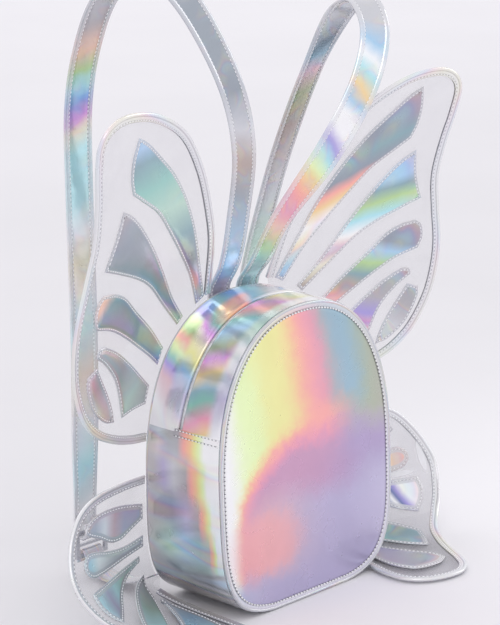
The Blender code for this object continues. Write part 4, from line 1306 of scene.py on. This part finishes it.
def build_stage():
    """Pale seamless floor with painted light falloff and shadow, even sky and three soft lights."""
    floor = bpy.data.meshes.new("floor")
    corners = ((-1, -1), (1, -1), (1, 1), (-1, 1))
    floor.from_pydata([(x * FLOOR_REACH, y * FLOOR_REACH, -FLOOR_DROP) for x, y in corners], [],
                      [(0, 1, 2, 3)])
    graph = Graph("studio_floor")
    parts = graph.tree.nodes.new("ShaderNodeSeparateXYZ")
    graph.put(parts.inputs[0], graph.place)
    turn = math.radians(VIEW_TURN)
    away = graph.math("MULTIPLY_ADD", parts.outputs[0], -math.sin(turn),
                      graph.times(parts.outputs[1], math.cos(turn)))
    right = graph.math("MULTIPLY_ADD", parts.outputs[0], math.cos(turn),
                       graph.times(parts.outputs[1], math.sin(turn)))
    paper = graph.step(graph.noise(graph.place, 3.0, 3.0), 0.2, 0.8, -0.01, 0.01)
    # Painted light falloff and shadow: the floor is darker towards the near left and in the middle
    # distance, and lighter far away.
    near = graph.step(right, -0.35, 0.30, 0.76, 0.87)
    middle = graph.step(away, 0.05, 0.9, near, 0.75)
    shade = graph.math("ADD", paper, graph.step(away, 0.9, 3.8, middle, 0.91))
    colour = graph.vector(shade, graph.times(shade, 0.985), graph.times(shade, 1.02))
    floor.materials.append(graph.finish(colour, 0.9, 0.0))
    graph.shader.inputs["Specular IOR Level"].default_value = 0.1
    obj = bpy.data.objects.new("floor", floor)
    bpy.context.scene.collection.objects.link(obj)
    world = bpy.data.worlds.new("studio")
    bpy.context.scene.world = world
    world.use_nodes = True
    world.node_tree.nodes["Background"].inputs[0].default_value = (0.96, 0.955, 0.975, 1.0)
    world.node_tree.nodes["Background"].inputs[1].default_value = 1.0
    area_light("key", (-1.6, -1.5, 2.4), (0, 0, 0.15), (1.4, 1.4), 8.0)
    area_light("side", (1.9, -0.8, 1.2), (0, 0, 0.2), (0.5, 1.6), 5.0)
    area_light("rim", (0.3, 2.0, 1.8), (0, 0, 0.2), (1.6, 0.8), 5.0)
    bpy.context.scene.view_settings.view_transform = "Standard"


# --- looks of each piece ---------------------------------------------------------------
CLEAR = clear_material("clear_vinyl")
CLEAR_SHINY = clear_material("clear_vinyl_glare", ((0.186, 0.0455, 0.024, 0.0034, 0.0),
                                                   (0.2175, 0.058, 0.0040, 0.017, 0.1)), 0.16)
THREAD = thread_material("thread", "white")
# Needle holes: ash, and dusk for darker holes, are painted shade in the holes.
HOLE_SHADE = thread_material("needle_hole_shade", "ash")
DARK_HOLE_SHADE = thread_material("deep_needle_hole_shade", "dusk")
RIM = blotch_material("rim_foil", 14.0, "silver", 0.3, (1.0, 0.2))
BACK_RIM = blotch_material("back_rim_foil", 14.0, "grey", 0.5, (1.0, 0.2))
WEBBING = blotch_material("webbing_foil", 5.0, "silver", 0.5)
TAPE = woven_material("zip_tape_weave", "silver")
CLOTH = woven_material("lining_weave", "grey")
METAL = metal_material("plated_metal")
CHAIN = chain_material("zip_nylon")
BOARD = woven_material("board_card", "slate", 0.002, 0.6)
YOKE = blotch_material("yoke_foil", 3.0, "silver", 0.5)

FRONT = front_material("front_foil")
BACK = blotch_material("back_foil", 1.6, "silver", 0.6)


def fringe(reach, rest):
    """Hues beside the front seam: a white glare with a warm flank ending at reach."""
    flank = hues("0 white, 0.45 white, 0.62 lime, 0.76 lemon, 0.92 orange, 1.12 coral, 1.35 ash")
    return tuple((reach * share, hue) for share, hue in flank) + hues(rest)


LOWER_SIDE = rows_material("lower_side_foil", (
    # Lowest row: darkens from front to back into the shadow hue, painted shade where the gusset curves
    # under the bag.
    (0.0, 0.0, hues("0 silver, 0.2 grey, 0.5 dusk, 1 shadow")),
    (0.12, 0.12, hues("0 pearl, 0.1 silver, 0.2 grey, 0.7 steel, 1 grey")),
    (0.25, 0.12, fringe(0.12, "0.3 lagoon, 0.5 sky, 0.7 mint, 1 ash")),
    (0.40, 0.14, fringe(0.21, "0.45 lilac, 0.65 steel, 0.85 ash")),
    (0.58, 0.14, fringe(0.32, "0.6 silver, 0.75 lavender, 0.9 ash")),
    (0.80, 0.12, fringe(0.42, "0.7 ash, 0.85 silver, 1 ash")),
), along="v", stacked="w", reach=(1.0, 1.0 / SEAM_Z), size=(16.0, 0.30), warp=(3.6, 0.030),
    haze=0.22, grain=(60.0, 4.0))
ARCH_REACH = (1.0 / ARCH[-1][1], 1.0)
FRONT_ARCH = rows_material("front_arch_foil", (
    (0.0, 0.0, hues("0 pearl, 0.35 white, 0.52 white, 0.66 mint, 0.76 white, 0.88 lilac, 1 white")),
    (0.16, 0.24, hues("0 pearl, 0.38 white, 0.46 lemon, 0.52 magenta, 0.57 coral, 0.62 sea, "
                      "0.67 sky, 0.72 olive, 0.755 magenta, 0.8 amber, 0.845 lagoon, 0.88 sea, "
                      "0.93 rose, 0.97 amber, 1 cyan")),
), reach=ARCH_REACH, size=(10.0, 0.5), warp=(2.4, 0.030), slant=-0.05, haze=0.1, metallic=0.5,
    grain=(60.0, 3.0))
REAR_ARCH = rows_material("rear_arch_foil", (
    (0.0, 0.0, hues("0 pearl, 0.36 white, 0.5 pearl, 0.56 sky, 0.6 coral, 0.65 orange, 0.69 sea, "
                    "0.73 magenta, 0.77 cream, 0.81 lemon, 0.86 sky, 0.92 lilac, 1 pearl")),
    (0.36, 0.26, hues("0 pearl, 0.36 white, 0.48 blush, 0.54 cyan, 0.6 blue, 0.645 sea, "
                      "0.68 blue, 0.72 violet, 0.745 lime, 0.775 green, 0.8 coral, 0.825 lime, "
                      "0.85 sea, 0.88 violet, 0.92 blush, 1 pearl")),
), reach=ARCH_REACH, size=(10.0, 0.5), warp=(3.0, 0.040), slant=0.06, haze=0.1, metallic=0.5,
    grain=(60.0, 3.0))
STRAPS = {
    "left": rows_material("left_strap_foil", ((0.0, 0.0, hues(
            "0 pearl, 0.03 lilac, 0.06 sky, 0.13 steel, 0.165 bronze, 0.2 silver, 0.24 steel, "
            "0.33 steel, 0.42 silver, 0.455 ash, 0.485 peach, 0.507 green, 0.522 cyan, "
            "0.537 blue, 0.547 violet, 0.557 magenta, 0.568 cream, 0.59 ice, 0.64 ice, "
            "0.67 white, 0.7 cream, 0.73 white, 0.77 ice, 0.81 cream, 0.86 white, 0.91 ice, "
            "0.95 white, 1 white")),),
        size=(8.8, 0.26), warp=(6.0, 0.008), slant=0.010, haze=0.12, grain=(120.0, 1.0),
        edge=("v", 0.33, 0.36, "pearl", 0.55)),
    "right": rows_material("right_strap_foil", ((0.0, 0.0, hues(
            "0 pearl, 0.03 cyan, 0.06 sea, 0.08 green, 0.1 peach, 0.125 rose, 0.147 coral, "
            "0.162 amber, 0.177 lime, 0.192 cyan, 0.205 violet, 0.22 white, 0.24 white, "
            "0.255 sky, 0.27 amber, 0.287 cyan, 0.303 white, 0.32 sky, 0.345 silver, "
            "0.38 silver, 0.41 silver, 0.44 steel, 0.466 lagoon, 0.484 blush, 0.51 olive, "
            "0.55 bronze, 0.63 silver, 0.7 mint, 0.76 silver, 0.85 white, 0.93 lime, 1 peach")),),
        size=(8.1, 0.26), warp=(6.0, 0.008), slant=0.012, haze=0.15, grain=(120.0, 1.0),
        edge=("v", 0.33, 0.36, "pearl", 0.5)),
}
BINDINGS = {}
# Grey levels across the binding from its outer fold. The white on the rolled fold is a painted highlight,
# and the ash in the dip and the grey at the stitch row are painted shade.
BINDING_HIGHLIGHT_AND_SHADE = hues("0 white, 0.26 white, 0.4 ash, 0.5 white, 0.72 pearl, 0.82 grey, 0.9 white, 1 silver")
for wing_side in ("left", "right"):
    for wing_level in ("upper", "lower"):
        wing = f"{wing_side}_{wing_level}_wing"
        BINDINGS[wing] = blotch_material(wing + "_binding_foil", 9.0, "silver", 0.5, (1.0, 0.05),
                                         BINDING_HIGHLIGHT_AND_SHADE)
# Hues from root to tip of petals 1 to 5.
PETAL_HUES = {
    "left_upper_wing": (
        "0 cream, 0.16 blush, 0.28 slate, 0.45 teal, 0.62 mint, 0.78 sea, 0.92 teal, 1 sky",
        "0 sky, 0.15 slate, 0.4 teal, 0.65 steel, 0.85 slate, 1 grey",
        "0 sky, 0.2 slate, 0.45 teal, 0.75 slate, 0.92 teal, 1 peach",
        "0 grey, 0.3 mint, 0.6 ash, 1 silver",
        "0 silver, 0.5 ash, 1 blush"),
    "right_upper_wing": (
        "0 blush, 0.12 lilac, 0.28 sky, 0.4 cream, 0.52 white, 0.62 amber, 0.7 coral, 0.78 slate, "
        "0.9 teal, 1 slate",
        "0 ash, 0.2 bronze, 0.36 cream, 0.46 blush, 0.56 white, 0.68 cyan, 0.8 green, 0.92 teal, "
        "1 sky",
        "0 navy, 0.2 violet, 0.36 coral, 0.48 bronze, 0.62 teal, 0.76 green, 0.9 sky, 1 slate",
        "0 amber, 0.2 peach, 0.38 rose, 0.58 violet, 0.8 ash, 1 grey",
        "0 silver, 0.5 ash, 1 grey"),
    "left_lower_wing": (
        "0 sky, 0.18 lilac, 0.36 lilac, 0.52 blush, 0.7 white, 0.88 silver, 1 silver",
        "0 lilac, 0.5 silver, 0.8 white, 1 cyan",
        "0 pearl, 0.4 mint, 0.6 ice, 0.78 lilac, 1 ice",
        "0 pearl, 0.4 mint, 0.8 ice, 1 pearl",
        "0 pearl, 0.4 sky, 0.8 ice, 1 pearl"),
    "right_lower_wing": (
        "0 grey, 1 slate",
        "0 grey, 0.6 amber, 0.8 cream, 1 peach",
        "0 grey, 0.42 white, 0.5 navy, 0.57 navy, 0.62 white, 0.68 navy, 0.74 navy, 0.8 white, "
        "0.86 navy, 0.92 violet, 1 white",
        "0 blush, 0.5 blush, 0.75 sea, 1 teal",
        "0 slate, 0.5 lavender, 1 grey"),
}
PETAL_LOOKS = {}
for wing, texts in PETAL_HUES.items():
    left = wing.startswith("left")
    border = ("w", 0.0044, 0.0052, "silver", 0.8)
    if "upper" in wing:
        border = ("w", 0.0024, 0.0034, "silver", 0.75)
    for number, text in enumerate(texts, 1):
        part = f"petal_{number}"
        PETAL_LOOKS[wing, part] = rows_material(
            f"{wing}_{part}_foil", ((0.0, 0.0, hues(text)),), size=(1.4, 0.5), warp=(3.0, 0.05),
            slant=0.10 if left else 0.40, haze=0.06 if left else 0.25, grain=(3.0, 60.0), edge=border)


def main():
    build_bag()
    for side in (-1, 1):
        outline_size, petal_size = UPPER_SIZE[side]
        petals = {part: [sized(edge, petal_size) for edge in edges]
                  for part, edges in UPPER_PETALS.items()}
        build_wing(side, "upper", sized(UPPER_OUTER, outline_size), petals, upper_surface, 0.0005)
        build_wing(side, "lower", LOWER_OUTER, LOWER_PETALS, lower_surface, 0.0008)
        name = "left" if side < 0 else "right"
        build_strap(name)
        build_webbing(name, side)
        dress(name + "_triglide", METAL, 0.0007)
    dress("base_board", BOARD, 0.0004)
    dress("strap_yoke", YOKE, 0.0005)
    dress("zip_slider", METAL, 0.0004)
    dress("zip_puller", METAL, 0.0003)
    build_stage()
    build_camera()


main()
